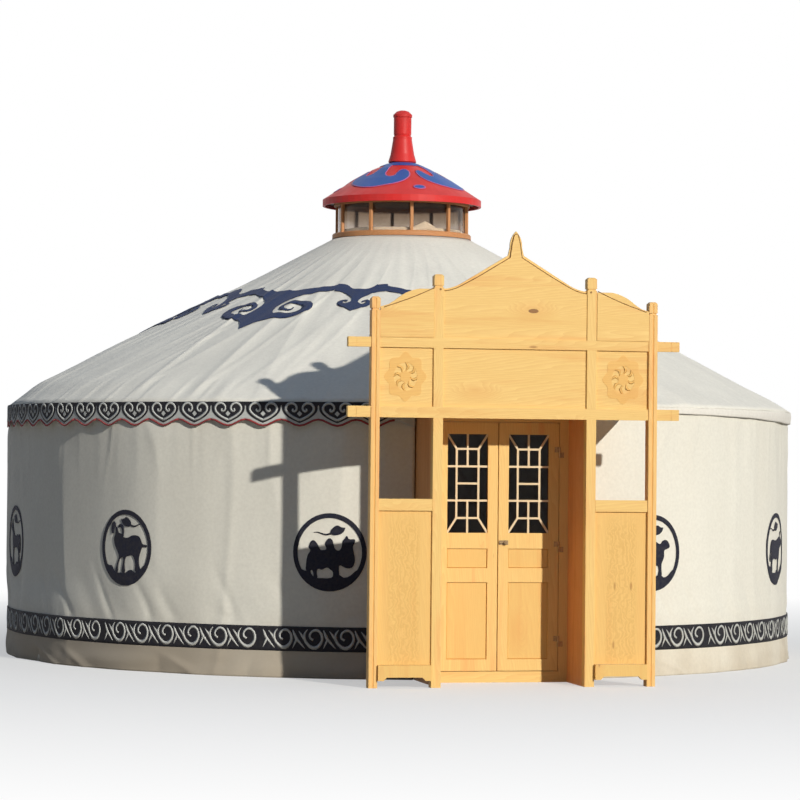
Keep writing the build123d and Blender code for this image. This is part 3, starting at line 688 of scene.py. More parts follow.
def valance_point(bearing, drop, lift=0.0):
    """A point on the valance, drop metres below the eave: it flutters a little at its free edge."""
    free = drop / VALANCE_DEPTH
    flutter = 0.005 * free * ripple(bearing, drop, 2.4, 0.6, 3.7)
    return on_ring(bearing, EAVE_RADIUS + 0.006 + flutter + lift, EAVE_HEIGHT + 0.002 - drop)


def scallop_drop(bearing):
    """How far the valance's edge hangs: deepest at the middle of each heart."""
    phase = radians(360 * (bearing - FIRST_HEART) / HEART_TURN)
    return VALANCE_DEPTH - SCALLOP * (1 - cos(phase)) / 2


def scalloped_point(bearing, share):
    """A point on the scalloped sheet; share runs from the eave to its free edge."""
    return valance_point(bearing, scallop_drop(bearing) * share)


valance_flat = (radians(VALANCE_TURN) * EAVE_RADIUS, VALANCE_DEPTH)
carry = round_ring(scalloped_point, VALANCE_START, VALANCE_TURN, 1.0, 0.0)
valance = make_sheet("valance_cloth", valance_flat, (980, 8), carry, pale_cloth)
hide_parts("eave_valance")
print(f"{len(hearts)} hearts of {HEART_WIDTH:.3f} m")

# %% [markdown]
# ## Hearts, scrolls and piping
#
# Dark heart-shaped lobes are sewn on the valance, and each carries a pale pair of ram's-horn scrolls
# over a small diamond. A red piping follows the scallops. One heart is drawn and laid at each place,
# because a tailor would cut them all from one pattern too.

# %% Sew on the dark hearts, the scrolls and the piping
def on_valance_at(lift):
    """A carrier that lays a drawing on the valance; v is counted up from the eave."""
    return lambda spot, u, v, w: valance_point(spot + degrees(u / EAVE_RADIUS), -v, lift + w)


on_valance, on_hearts = on_valance_at(0.0015), on_valance_at(0.0035)
half = HEART_WIDTH / 2
lobe_side = [(half, -0.026), *in_metres([(146, -38), (146, -60), (134, -88), (102, -119), (56, -146)])]
lobe = [(-half, -0.001), (half, -0.001), *lobe_side, (0.0, -0.170), *mirrored(lobe_side)]
lobe_shape = cut_shape(lobe, corners=(0, 1, 2, 8, 14), thickness=0.002, smoothness=3)
pattern_piece("valance_hearts", [lobe_shape], hearts, on_valance, black_cloth, cut=0.06)

scroll = in_metres([
    (52, -56, 6), (58, -70, 8), (42, -78, 9), (24, -55, 9), (37, -24, 9), (73, -13, 10), (106, -30, 10),
    (115, -62, 10), (95, -93, 10), (50, -125, 10), (0, -148, 11)])
diamond = in_metres([(0, -74), (21, -96), (0, -118), (-21, -96)])
diamond_shape = cut_shape(diamond, corners=(0, 1, 2, 3), thickness=0.002, smoothness=1)
heart_shapes = [*cut_pair(scroll, smoothness=2), diamond_shape]
pattern_piece("valance_scrolls", heart_shapes, hearts, on_hearts, pale_cloth)

scallops = [(step * half / 4, 0.004 - scallop_drop(FIRST_HEART + step * HEART_TURN / 8))
            for step in range(-4, 5)]
pattern_piece("valance_piping", [cut_ribbon(as_line(scallops, 0.008), 0.5, 1)], hearts, on_valance, red_cloth)

# %% [markdown]
# ## Dark band round the foot of the wall
#
# A long blue-black strip is sewn round the wall at knee height. Its off-white pattern is one figure
# repeated: two crossed leaves, then an open curl. The strip came in lengths of six figures, with a plain
# gap at each join. The strip is a cloth sheet, and the figures are ribbons that share its folds.

# %% Sew the band and its figures
BAND_LOW, BAND_HIGH = 0.212, 0.408
BAND_MIDDLE = (BAND_LOW + BAND_HIGH) / 2
FIGURE_TURN, FIGURES_PER_LENGTH, LENGTH_TURN = 4.11, 6, 25.6
LEFT_FIGURES = (307.5, 180.0, 360 - DOOR_BEARING - 1.6)
RIGHT_FIGURES = (294.0, DOOR_BEARING + 2.2, 179.0)


def band_point(bearing, height):
    """A point on the band, which lies over the wall and the skirt's top edge."""
    return wall_point(bearing, height, 0.008)


def on_wall_at(height, lift, stretch=1.0):
    """A carrier that lays a drawing on the wall cloth with its middle at a height, stretched upright."""
    return lambda spot, u, v, w: wall_point(spot + degrees(u / WALL_RADIUS), height + stretch * v, lift + w)


band_flat = (radians(CLOTH_TURN) * WALL_RADIUS, BAND_HIGH - BAND_LOW)
carry = round_ring(band_point, DOOR_BEARING, CLOTH_TURN, BAND_LOW, BAND_HIGH)
band = make_sheet("wall_band", band_flat, (900, 8), carry, black_cloth, 0.004)

figures = []
for first, low, high in (LEFT_FIGURES, RIGHT_FIGURES):
    lengths = [first + LENGTH_TURN * length for length in range(-12, 3)]
    bearings = [start + FIGURE_TURN * number for start in lengths for number in range(FIGURES_PER_LENGTH)]
    figures += [bearing for bearing in bearings if low < bearing < high]

curl = [(-6, -6, 9), (-31, 9, 9), (-34, 35, 9), (-16, 61, 9), (16, 72, 10), (47, 56, 10), (64, 20, 11),
        (62, -15, 11), (44, -46, 13), (12, -68, 15), (-19, -66, 14), (-50, -44, 12), (-75, -10, 11),
        (-81, 24, 10), (-72, 53, 7), (-53, 77, 2)]
fork = [(-128, 64, 2), (-103, 32, 9), (-78, -6, 11)]
long_leaf = [(-176, 72, 3), (-163, 40, 10), (-147, 6, 13), (-119, -27, 9), (-94, -55, 6), (-75, -73, 2)]
short_leaf = [(-141, 2, 9), (-157, -33, 8), (-176, -73, 2)]
figure_shapes = [cut_ribbon(in_metres(line), smoothness=2) for line in (curl, fork, long_leaf, short_leaf)]
pattern_piece("band_figures", figure_shapes, figures, on_wall_at(BAND_MIDDLE, 0.0085), pale_cloth)

# %% [markdown]
# ## Medallions
#
# Eleven round appliqués hang round the wall, each a dark ring with an animal of the herd standing on a
# strip of pasture under a curl of cloud. The ring is a filled outline with a hole, cut on a fine grid so
# that it bends round the wall.

# %% Draw the ring, the pasture and the cloud
MEDALLION_HEIGHT = 1.0
RING_RADIUS, RING_WIDTH, PASTURE_RADIUS = 0.295, 0.036, 0.28
hole = circle_points(RING_RADIUS - RING_WIDTH)
ring_shape = cut_shape(circle_points(RING_RADIUS), hole, smoothness=2)

pasture_turns = [radians(angle) for angle in range(-153, -26, 14)]
pasture_arc = [(PASTURE_RADIUS * cos(turn), PASTURE_RADIUS * sin(turn)) for turn in pasture_turns]
pasture_top = in_metres([
    (242, -125), (205, -142), (168, -174), (115, -190), (85, -172), (40, -176), (15, -192), (-55, -195),
    (-118, -190), (-140, -170), (-163, -142), (-200, -140), (-242, -125)])
pasture_shape = cut_shape(pasture_arc + pasture_top, smoothness=2)

cloud = in_metres([(8, 160), (33, 190), (63, 204), (93, 190), (126, 187), (108, 151), (48, 129), (13, 138)])
cloud_tail = in_metres([(10, 142, 8), (-28, 133, 6), (-68, 142, 5), (-98, 151, 4), (-128, 149, 2)])


def cloud_shapes(turn, across, up):
    """The cloud and its tail moved across and up; a turn of -1 makes it trail to the right."""
    head, tail = ([(turn * point[0] + across, point[1] + up, *point[2:]) for point in line]
                  for line in (cloud, cloud_tail))
    return [cut_shape(head, corners=(4,), smoothness=3), cut_ribbon(tail)]


print(f"each medallion is {2 * RING_RADIUS:.2f} m across")

# %% [markdown]
# ## The herd
#
# Each animal is a flat outline, because it was cut with shears from one piece of dark cloth; its horns
# are short ribbons. A camel, a goat, a horse, a sheep and a cow are drawn once and hung round the wall.

# %% Draw the animals of the herd
camel = [
    (-188, -135), (-188, -95), (-183, -49), (-173, -17), (-155, 15), (-168, 33), (-163, 56), (-148, 83),
    (-131, 90), (-108, 74), (-88, 47), (-73, 20), (-48, 17), (-26, 24), (-37, 62), (-22, 92), (-1, 106),
    (23, 92), (33, 56), (48, 24), (78, 15), (98, 47), (105, 88), (122, 106), (137, 124), (153, 102),
    (203, 97), (198, 69), (187, 47), (193, 6), (203, -49), (193, -95), (178, -113), (133, -117),
    (103, -104), (83, -98), (77, -131), (72, -196), (33, -196), (30, -150), (10, -130), (-18, -115),
    (-58, -131), (-92, -127), (-100, -154), (-98, -196), (-122, -196), (-128, -160), (-146, -134),
    (-146, -165), (-138, -196), (-158, -196), (-172, -150)]
goat = [
    (-140, 73), (-137, 47), (-124, 11), (-92, -33), (-76, -69), (-92, -109), (-106, -144), (-116, -195),
    (-90, -195), (-85, -140), (-48, -78), (-26, -78), (-29, -131), (-34, -195), (-4, -195), (-5, -131),
    (12, -73), (37, -64), (83, -58), (102, -73), (121, -122), (128, -190), (179, -190), (166, -131),
    (163, -78), (179, -33), (205, 10), (250, 12), (244, 24), (202, 32), (192, 47), (173, 78), (147, 95),
    (70, 93), (50, 83), (-20, 82), (-40, 104), (-80, 116), (-98, 150), (-118, 158), (-122, 120), (-128, 96)]
goat_horns = [
    [(-30, 88, 10), (-26, 125, 14), (-36, 158, 16), (-62, 172, 14), (-86, 158, 6)],
    [(-118, 150, 6), (-138, 190, 14), (-152, 172, 20), (-158, 140, 20), (-158, 108, 12)]]
horse = [
    (-175, 105), (-180, 125), (-145, 150), (-122, 182), (-112, 150), (-80, 105), (-45, 60), (30, 45),
    (100, 58), (135, 45), (165, 60), (190, 10), (182, -90), (168, -95), (160, -10), (140, -40), (150, -110),
    (140, -200), (118, -200), (122, -120), (95, -65), (10, -55), (-45, -65), (-60, -125), (-55, -200),
    (-78, -200), (-88, -120), (-105, -55), (-118, 10), (-122, 70), (-150, 88)]
cow = [
    (205, 30), (210, 55), (180, 85), (150, 100), (110, 95), (60, 80), (-30, 70), (-120, 78), (-165, 60),
    (-190, -10), (-196, -100), (-180, -100), (-168, -20), (-155, -70), (-158, -200), (-128, -200),
    (-118, -100), (-85, -80), (10, -88), (60, -85), (70, -130), (66, -200), (94, -200), (104, -110),
    (130, -60), (148, 0), (175, 18)]
cow_horns = [[(150, 95, 8), (160, 130, 8), (190, 145, 4)]]
sheep = [
    (180, 45), (176, 70), (140, 100), (100, 92), (75, 70), (20, 88), (-40, 74), (-95, 86), (-140, 60),
    (-162, 10), (-150, -50), (-130, -90), (-128, -200), (-104, -200), (-98, -105), (-40, -100), (20, -98),
    (52, -105), (58, -200), (82, -200), (90, -90), (118, -30), (122, 20), (150, 30)]


def animal_shapes(outline, horns=()):
    """The flat pieces of one animal."""
    return [cut_shape(in_metres(outline), smoothness=3)] + [cut_ribbon(in_metres(horn)) for horn in horns]


herd = {
    "camel": (animal_shapes(camel) + cloud_shapes(1, 0.0, 0.0), (-20.9, 149.0)),
    "goat": (animal_shapes(goat, goat_horns) + cloud_shapes(-1, 0.075, 0.035), (-51.4, 117.0)),
    "horse": (animal_shapes(horse) + cloud_shapes(-1, 0.065, 0.020), (-85.8, 180.0)),
    "sheep": (animal_shapes(sheep) + cloud_shapes(1, -0.020, 0.010), (24.3, -117.0)),
    "cow": (animal_shapes(cow, cow_horns) + cloud_shapes(1, -0.060, 0.020), (57.0, -149.0, 88.5)),
}
every_medallion = [spot for _, spots in herd.values() for spot in spots]
on_wall = on_wall_at(MEDALLION_HEIGHT, 0.0045, 1.05)
pattern_piece("medallion_rings", [ring_shape, pasture_shape], every_medallion, on_wall, ink_cloth, cut=0.035)
for animal, (shapes, spots) in herd.items():
    pattern_piece(f"medallion_{animal}s", shapes, spots, on_wall, ink_cloth, cut=0.035)

# %% [markdown]
# ## Ram's-horn band on the roof
#
# Halfway down the roof runs one broad navy appliqué: large ram's-horn figures and small ones by turns,
# joined by a narrow neck. Each figure is a filled body with two scrolls that curl back under its arms.
# It lies on a cone, so a drawing's sideways measure is turned into a bearing at its own distance from
# the middle, which keeps its width true.

# %% Cut and lay the roof figures
MOTIF_RADIUS = 1.60
SLOPE_RUN = (EAVE_RADIUS - CROWN_RADIUS) / SLANT
large_spots = [-46.9 + 45 * number for number in range(8)]
small_spots = [spot + 23.0 for spot in large_spots]
NECK_TOP = (0.0, -0.084)


def on_roof(spot, u, v, w):
    """Carry a drawn point to the roof: v is counted up the slope from the band's top line."""
    radius = MOTIF_RADIUS - v * SLOPE_RUN
    return roof_point(spot + degrees(u / radius), radius, 0.008 + w)


def lay_horns(name, side, foot, horn, spots, corners, flatness):
    """Lay figures from the right half of a body, the foot of its middle line, and its right scroll."""
    body = [NECK_TOP, *in_metres(side), (0.0, foot), *mirrored(in_metres(side))]
    shapes = [cut_shape(body, corners=corners, thickness=0.004, smoothness=3)]
    shapes += cut_pair(in_metres(horn), flatness, 4)
    pattern_piece(name, shapes, spots, on_roof, navy_cloth, cut=0.035)


large_side = [
    (200, -72), (330, -32), (420, 18), (440, -45), (432, -96), (300, -155), (195, -226), (128, -288),
    (92, -377), (100, -490), (150, -575), (260, -625), (250, -662), (170, -688), (100, -732), (46, -800)]
large_horn = [
    (150, -632, 56), (244, -622, 52), (330, -598, 50), (402, -540, 48), (405, -450, 44), (330, -368, 38),
    (235, -355, 31), (165, -400, 26), (165, -465, 22), (222, -510, 18), (272, -487, 13), (272, -445, 6)]
small_side = [
    (70, -60), (130, 8), (215, 34), (228, -30), (222, -104), (145, -134), (80, -195), (36, -275),
    (34, -345), (105, -405), (60, -455)]
small_horn = [(30, -405, 40), (85, -395, 32), (122, -355, 26), (114, -312, 20), (82, -304, 14), (64, -335, 6)]
lay_horns("roof_large_horns", large_side, -0.878, large_horn, large_spots, (3, 5, 17, 29, 31), 0.05)
lay_horns("roof_small_horns", small_side, -0.512, small_horn, small_spots, (3, 5, 12, 19, 21), 0.08)

# %% [markdown]
# ## Pine
#
# The porch is planed pine: golden, with darker growth rings drawn out along each board, a few round
# knots, and orange streaks where resin has come up. Grain has a direction, so a Mapping node squeezes
# the pattern across the board and stretches it along, and upright and level timbers are two materials
# made from the same group.

# %% Build the wood group
RINGS_PER_METRE = 34.0
KNOT_BROWN, SPECK_BROWN = (0.16, 0.055, 0.02), (0.42, 0.20, 0.06)


def scattered(tree, place, squeeze, scale):
    """Scattered spots: how far a place is from the nearest one, and a random tone of its own."""
    inputs = {"Vector": resized(tree, place, (1, 1, squeeze)), "Scale": scale, "Randomness": 1.0}
    spots = add_node(tree, "TexVoronoi", inputs).outputs
    return spots["Distance"], add_node(tree, "SeparateColor", {0: spots["Color"]}).outputs[0]


def build_wood_group():
    """Colour, roughness and grain of planed wood that runs along the pattern's Z."""
    group, given, out = new_group("Planed wood", {
        "Vector": "Vector", "Light": "Color", "Dark": "Color", "Streak": "Color",
        "Grain share": "Float", "Streak share": "Float", "Knot share": "Float"})
    along = resized(group, given["Vector"], (1.0, 1.0, 0.07))
    bend = cloudy(group, along, 5.0, 2.0)
    knot_off, knot_tone = scattered(group, given["Vector"], 0.42, 3.4)
    chosen = spread(group, knot_tone, 0.60, 0.64)
    knot = product(group, chosen, calculate(group, "LESS_THAN", knot_off, product(group, knot_tone, 0.09)))
    swirl = product(group, chosen, spread(group, knot_off, 0.32, 0.04))
    push = add_node(group, "CombineXYZ", {
        "X": calculate(group, "MULTIPLY_ADD", swirl, 0.10, product(group, bend, 0.16)),
        "Y": product(group, bend, 0.11)}).outputs[0]
    pushed = add_node(group, "VectorMath", {0: push, 1: along}, operation="ADD").outputs[0]
    rings = add_node(group, "TexWave", {
        "Vector": pushed, "Scale": RINGS_PER_METRE, "Distortion": 2.2, "Detail": 2.0, "Detail Scale": 1.4,
    }, bands_direction="DIAGONAL", wave_profile="SAW").outputs["Fac"]
    fibre = cloudy(group, along, 160.0, 3.0)
    streaks = spread(group, cloudy(group, along, 9.0, 3.0, 0.6), 0.52, 0.72)
    speck_off, speck_tone = scattered(group, given["Vector"], 0.30, 8.0)
    speck = product(group, spread(group, speck_tone, 0.70, 0.72), spread(group, speck_off, 0.10, 0.05))
    colour = given["Light"]
    for share, tint in (
            (product(group, rings, given["Grain share"]), given["Dark"]),
            (spread(group, fibre, 0.35, 0.75, 0.0, 0.28), given["Dark"]),
            (product(group, streaks, given["Streak share"]), given["Streak"]),
            (product(group, swirl, 0.35), given["Streak"]),
            (product(group, knot, given["Knot share"]), KNOT_BROWN),
            (product(group, speck, given["Knot share"]), SPECK_BROWN)):
        colour = mix_colours(group, share, colour, tint)
    fill_in(group, out, {"Colour": colour, "Roughness": spread(group, fibre, 0.3, 0.7, 0.46, 0.64),
                         "Relief": calculate(group, "ADD", rings, fibre)})
    return group


wood_group = build_wood_group()
print("wood group has", len(wood_group.nodes), "nodes")

# %% [markdown]
# ## Woods
#
# Every timber has the same recipe with its own tones: a stained lantern and pale painted bars. The posts'
# orange is partly resin and partly painted warm shade of their side faces, and the passage's deeper red is
# painted warm shade. A shift moves the pattern, so that pieces that touch are not cut from one log.

# %% Mix the woods
UPRIGHT, LEVEL = (0, 0, 0), (0, radians(90), 0)


def wood_material(name, light, dark, streak, turn=UPRIGHT, shift=0.0, grain=0.45, streaks=0.45, knots=0.8):
    """Planed wood whose grain runs upright or level along the front."""
    values = {"Light": light, "Dark": dark, "Streak": streak,
              "Grain share": grain, "Streak share": streaks, "Knot share": knots}
    material = grouped_material(name, wood_group, values, {"Specular IOR Level": 0.3}, (0.0006, 0.6))
    tree = material.node_tree
    turned = {"Vector": place_on(tree), "Rotation": turn, "Location": (shift, 0.37, shift)}
    fill_in(tree, tree.nodes["Group"], {"Vector": add_node(tree, "Mapping", turned).outputs[0]})
    return material


pine_light, pine_dark, pine_streak = (0.90, 0.62, 0.225), (0.76, 0.45, 0.145), (0.74, 0.34, 0.095)
stained = (0.62, 0.30, 0.13), (0.42, 0.17, 0.06), (0.50, 0.20, 0.08)
pine_upright = wood_material("Pine, upright", pine_light, pine_dark, (0.86, 0.37, 0.12), streaks=0.6)
# The posts' orange is partly resin streaks and partly painted warm shade of their side faces.
pine_post = wood_material(
    "Pine, orange posts", (0.90, 0.58, 0.215), (0.80, 0.43, 0.14), (0.84, 0.30, 0.10), streaks=0.7)
pine_level = wood_material("Pine, level", pine_light, pine_dark, pine_streak, LEVEL, 0.6)
pine_panel = wood_material(
    "Pine panels, upright", (0.83, 0.55, 0.18), pine_dark, pine_streak, UPRIGHT, 1.3, 0.4, 0.3)
pine_boards = wood_material("Pine boards, level", pine_light, pine_dark, pine_streak, LEVEL, 2.1, 0.5, 0.6)
# The passage's deeper red is painted warm shade.
shaded_passage_pine = wood_material(
    "Pine passage, upright", (0.82, 0.42, 0.17), (0.62, 0.26, 0.09), (0.55, 0.20, 0.06), UPRIGHT, 3.0)
lath_wood = wood_material("Lath wood", (0.50, 0.30, 0.15), (0.34, 0.18, 0.08), (0.28, 0.12, 0.05), knots=0.3)
lantern_wood = wood_material("Stained lantern wood", *stained, grain=0.6)
lantern_ring_wood = wood_material("Stained lantern rings", *stained, LEVEL)
pine_carving = wood_material(
    "Pine carving", (0.85, 0.52, 0.16), (0.75, 0.41, 0.115), pine_streak, LEVEL, 2.1, 0.5, 0.3)
# A plain dark brown for the lines along the gable's edges and for the pegs.
dark_lines_and_pegs = wood_material(
    "Dark lines and pegs", (0.34, 0.17, 0.045), (0.24, 0.11, 0.03), (0.20, 0.08, 0.02), LEVEL, knots=0.0)
dark_wood = wood_material(
    "Dark crown wood", (0.20, 0.10, 0.05), (0.12, 0.05, 0.02), (0.14, 0.05, 0.02), grain=0.5)
pale_bar = wood_material(
    "Pale painted bars", (0.80, 0.66, 0.44), (0.70, 0.52, 0.30), (0.66, 0.46, 0.24), grain=0.25, knots=0.0)
print("wood materials:", pine_upright.name, pine_level.name, lantern_wood.name)

# %% [markdown]
# ## Carving beside the door
#
# Each panel beside the door carries a tall shallow column of worn scrollwork. It is about a millimetre
# deep and hardly darker than the board, so it is left to the finish: twisted waves, kept to a field in
# the middle of each panel.

# %% Carve the panels beside the door
def carve(material, middle, half_width, low, high):
    """Add worn scrollwork to a field either side of the porch's middle: sunk, and darker in the cuts as
    painted shade.
    """
    tree = material.node_tree
    place = place_on(tree)
    across = calculate(tree, "ABSOLUTE", part_of(tree, place, "X"))
    off = calculate(tree, "ABSOLUTE", calculate(tree, "SUBTRACT", across, middle))
    height = part_of(tree, place, "Z")
    ends = product(tree, spread(tree, height, low, low + 0.05), spread(tree, height, high, high - 0.15))
    field = product(tree, spread(tree, off, half_width, half_width - 0.03), ends)
    waves = {"Vector": place, "Scale": 9.0, "Distortion": 14.0, "Detail": 2.0, "Detail Scale": 1.6}
    cut = product(tree, field, add_node(tree, "TexWave", waves).outputs["Fac"])
    # Painted shade: the cuts are made darker where the carving is sunk.
    stain(material, product(tree, cut, 0.42), (0.66, 0.38, 0.10))
    bump(tree, tree.nodes["Principled BSDF"], cut, 0.0015, 0.35)


pine_carved = wood_material(
    "Pine panels, carved", (0.86, 0.55, 0.18), pine_dark, pine_streak, UPRIGHT, 1.3, 0.4, 0.3)
carve(pine_carved, 0.858, 0.135, 0.15, 1.36)
print("carved field on", pine_carved.name)

# %% [markdown]
# ## Paint and metal
#
# The cap is red enamel on sheet metal, with faded patches and brush strokes. The hinges are browned with
# rust, so they are hardly metallic, and the latch is dark bronze.

# %% Mix paint and metal
def painted(name, colour, faded):
    """Brushed enamel with faded patches."""
    inputs = {"Coat Weight": 0.06, "Coat Roughness": 0.3, "Specular IOR Level": 0.25}
    material, tree, shader = new_material(name, inputs)
    place = place_on(tree)
    patches, strokes = cloudy(tree, place, 6.0, 5.0), cloudy(tree, place, 60.0, 2.0)
    tone = mix_colours(tree, spread(tree, patches, 0.42, 0.68, 0.0, 0.7), colour, faded)
    fill_in(tree, shader, {"Base Color": tone, "Roughness": spread(tree, patches, 0.3, 0.7, 0.42, 0.60)})
    bump(tree, shader, strokes, 0.0006, 0.5)
    return material


def metal(name, colour, rust, metallic):
    """Worn metal with darker patches."""
    material, tree, shader = new_material(name, {"Metallic": metallic})
    patches = cloudy(tree, place_on(tree), 45.0, 5.0)
    tone = mix_colours(tree, spread(tree, patches, 0.45, 0.65, 0.0, 0.6), colour, rust)
    fill_in(tree, shader, {"Base Color": tone, "Roughness": spread(tree, patches, 0.35, 0.65, 0.28, 0.6)})
    bump(tree, shader, patches, 0.0003, 0.5)
    return material


cap_red = painted("Cap red", (0.66, 0.028, 0.026), (0.56, 0.040, 0.038))
cap_blue = painted("Cloud blue", (0.018, 0.085, 0.36), (0.030, 0.11, 0.33))
cap_rose = painted("Cloud rose edge", (0.55, 0.12, 0.30), (0.48, 0.15, 0.32))
brown_iron = metal("Brown iron", (0.50, 0.30, 0.12), (0.30, 0.15, 0.05), 0.2)
dark_bronze = metal("Dark bronze", (0.22, 0.15, 0.08), (0.08, 0.05, 0.03), 0.8)
print("paint and metal:", cap_red.name, brown_iron.name)

# %% [markdown]
# ## Glass
#
# The glazing is thin clear sheet with a film of dust. The door glass is tinted deep brown, which is painted
# shade of the dim room behind it, and the lantern's panes are browner towards their top, which is painted
# shade of the dark soffit seen through them and reflected in them. Cycles would give the glass a dark
# shadow, so shadow rays go through it as through tinted film.

# %% Mix the glass
ABOVE_THE_TENT = 9.0, 10.0


def show_mix(tree, output, share, first, second):
    """Send a mix of two shaders to the tree's output node."""
    mixed = add_node(tree, "MixShader", {0: share, 1: first.outputs[0], 2: second.outputs[0]})
    fill_in(tree, tree.nodes[output], {"Surface": mixed.outputs[0]})


def sheet_glass(name, tint, film, painted_shade_from, painted_shade_to):
    """Thin glass with a film of dust, browner from one height to another as painted shade of a dark soffit
    seen through it.
    """
    inputs = {"Transmission Weight": 1.0, "IOR": 1.22, "Specular IOR Level": 0.2}
    material, tree, shader = new_material(name, inputs)
    place = place_on(tree)
    dust = cloudy(tree, place, 7.0, 4.0)
    dusty = mix_colours(tree, spread(tree, dust, 0.35, 0.7, 0.1, 0.6), tint, film)
    wavy = calculate(tree, "MULTIPLY_ADD", dust, 0.10, part_of(tree, place, "Z"))
    # Painted shade: the panes turn browner between two heights, for the dark soffit seen through them.
    with_painted_shade = mix_colours(tree, spread(tree, wavy, painted_shade_from, painted_shade_to), dusty, (0.42, 0.34, 0.27))
    fill_in(tree, shader, {"Base Color": with_painted_shade, "Roughness": spread(tree, dust, 0.3, 0.7, 0.04, 0.16)})
    clear = add_node(tree, "BsdfTransparent", {"Color": with_painted_shade})
    show_mix(tree, "Material Output", add_node(tree, "LightPath").outputs["Is Shadow Ray"], shader, clear)
    return material


# The door glass's deep brown tint is painted shade of the dim room behind it.
door_glass = sheet_glass("Door glass", (0.36, 0.28, 0.22), (0.30, 0.22, 0.16), *ABOVE_THE_TENT)
lantern_glass = sheet_glass("Lantern glass", (0.70, 0.65, 0.60), (0.60, 0.54, 0.47), 3.90, 3.99)
print("glass:", door_glass.name, lantern_glass.name)

# %% [markdown]
# ## Painted clouds on the cap
#
# Four blue clouds with a rose edge are painted on the red cap, round a blue ring at the finial's foot,
# with a small blue oval between each two. They are drawn in plan, as seen from above, and dropped on
# the cap, so they follow its slope whatever its curve is.

# %% Paint the clouds on the cap
CLOUD_SPOTS = [-42.0 + 90 * quarter for quarter in range(4)]
OVAL_SPOTS = [spot + 45 for spot in CLOUD_SPOTS]
OVAL_OUT = -0.606
cap_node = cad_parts["lantern_cap"]
bpy.context.view_layer.update()


def on_cap(spot, u, v, w):
    """A plan point turned to its spot and dropped on the cap."""
    flat = Matrix.Rotation(radians(spot), 4, "Z") @ Vector((u, v, 6.0))
    _, hit, _, _ = cap_node.ray_cast(flat, Vector((0, 0, -1)))
    return hit + Vector((0, 0, w + 0.004))


def paint_on_cap(name, shape, spots, material, cut=0.0):
    """Paint one shape at each spot."""
    pattern_piece(name, [shape], spots, on_cap, material, cut)


cloud_marks = [  # bearing in degrees, and millimetres from the cap's middle
    (3, 190), (4, 260), (5.5, 330), (7, 390), (13, 437), (20, 428), (24.5, 360), (30, 312), (36.5, 318),
    (39.5, 385), (35, 470), (26, 535), (14, 575), (1, 605), (-14, 580), (-26, 535), (-35, 470), (-39, 385),
    (-36, 325), (-31, 330), (-26, 380), (-20, 420), (-14, 385), (-13, 330), (-14, 260), (-15, 190)]
cloud_outline = [on_ring(bearing, out / 1000, 0.0).xy for bearing, out in cloud_marks]
oval_edge = oval_points(0.052, 0.027, 12, OVAL_OUT)
paint_on_cap("cap_clouds", cut_shape(cloud_outline), CLOUD_SPOTS, cap_blue, 0.05)
cap_ring = cut_shape(circle_points(0.205), circle_points(0.115), smoothness=2)
paint_on_cap("cap_blue_ring", cap_ring, [0.0], cap_blue, 0.05)
paint_on_cap("cap_cloud_edges", cut_ribbon(as_line(cloud_outline, 0.011), 0.14), CLOUD_SPOTS, cap_rose, 0.05)
oval = cut_shape(oval_points(0.047, 0.022, 12, OVAL_OUT), smoothness=2)
paint_on_cap("cap_ovals", oval, OVAL_SPOTS, cap_blue)
edge = cut_ribbon(as_line([*oval_edge, oval_edge[0]], 0.009), smoothness=2)
paint_on_cap("cap_oval_edges", edge, OVAL_SPOTS, cap_rose)

# %% [markdown]
# ## Dark lines on the gable
#
# A dark line follows the cut edge of each gable face board and of the bud on its tip, and a dark peg
# shows on each inner post. A drawing's depth is measured by sending a line from the front to the solid
# that it lies on.

# %% Draw the lines and the pegs
def front_at(node, across, height):
    """The depth at which a line from the front meets a solid."""
    _, hit, _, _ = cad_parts[node].ray_cast(Vector((across, -8.0, height)), Vector((0, 1, 0)))
    return hit.y


def on_front(spot, u, v, w):
    """A point on the porch's front; spot holds the drawing's middle across, its height and its depth."""
    across, height, depth = spot
    return Vector((across + u, depth - w, height + v))


def put_on_front(name, shapes, spots, material):
    """Lay shapes on the porch's front."""
    pattern_piece(name, shapes, spots, on_front, material)


LINE_HALF = 0.0035
GABLE_TIP = (0.0, 3.484)
centre_edge = in_metres([(564, 3033), (502, 3046), (427, 3078), (47, 3301), (39, 3354), (25, 3436)])
side_edge = in_metres([(1040, 2899), (950, 2930), (854.5, 2964), (750, 3007), (648, 3054)])
gable_line = as_line([*centre_edge, GABLE_TIP, *mirrored(centre_edge)], LINE_HALF)
put_on_front("gable_centre_line", [cut_ribbon(gable_line, 0.5, corners=(0, 3, 9, 12))],
             [(0.0, 0.0, front_at("gable_boards", 0.0, 3.0))], dark_lines_and_pegs)
put_on_front("gable_side_lines", cut_pair(as_line(side_edge, LINE_HALF), 0.5),
             [(0.0, 0.0, front_at("gable_boards", 0.854, 2.966))], dark_lines_and_pegs)
post_front = front_at("inner_posts", 0.61, 2.4)
peg = cut_shape(circle_points(0.008), thickness=0.006, smoothness=2)
put_on_front("gable_pegs", [peg], [(side * 0.596, 3.045, post_front) for side in (1, -1)], dark_lines_and_pegs)

# %% [markdown]
# ## Rosettes on the frieze
#
# The end boards of the frieze carry a shallow carved rosette, a few millimetres deep and hardly darker
# than the board: a thin lobed ring, a bud, and eight petals in a slightly deeper pine.

# %% Carve the rosettes
PETALS = 8


def lobed(width, height, lobes, depth):
    """Points of a lobed outline."""
    turns = [2 * pi * step / (lobes * 4) for step in range(lobes * 4)]
    return [(width * (1 - depth * (1 - cos(lobes * turn)) / 2) * sin(turn),
             height * (1 - depth * (1 - cos(lobes * turn)) / 2) * cos(turn)) for turn in turns]


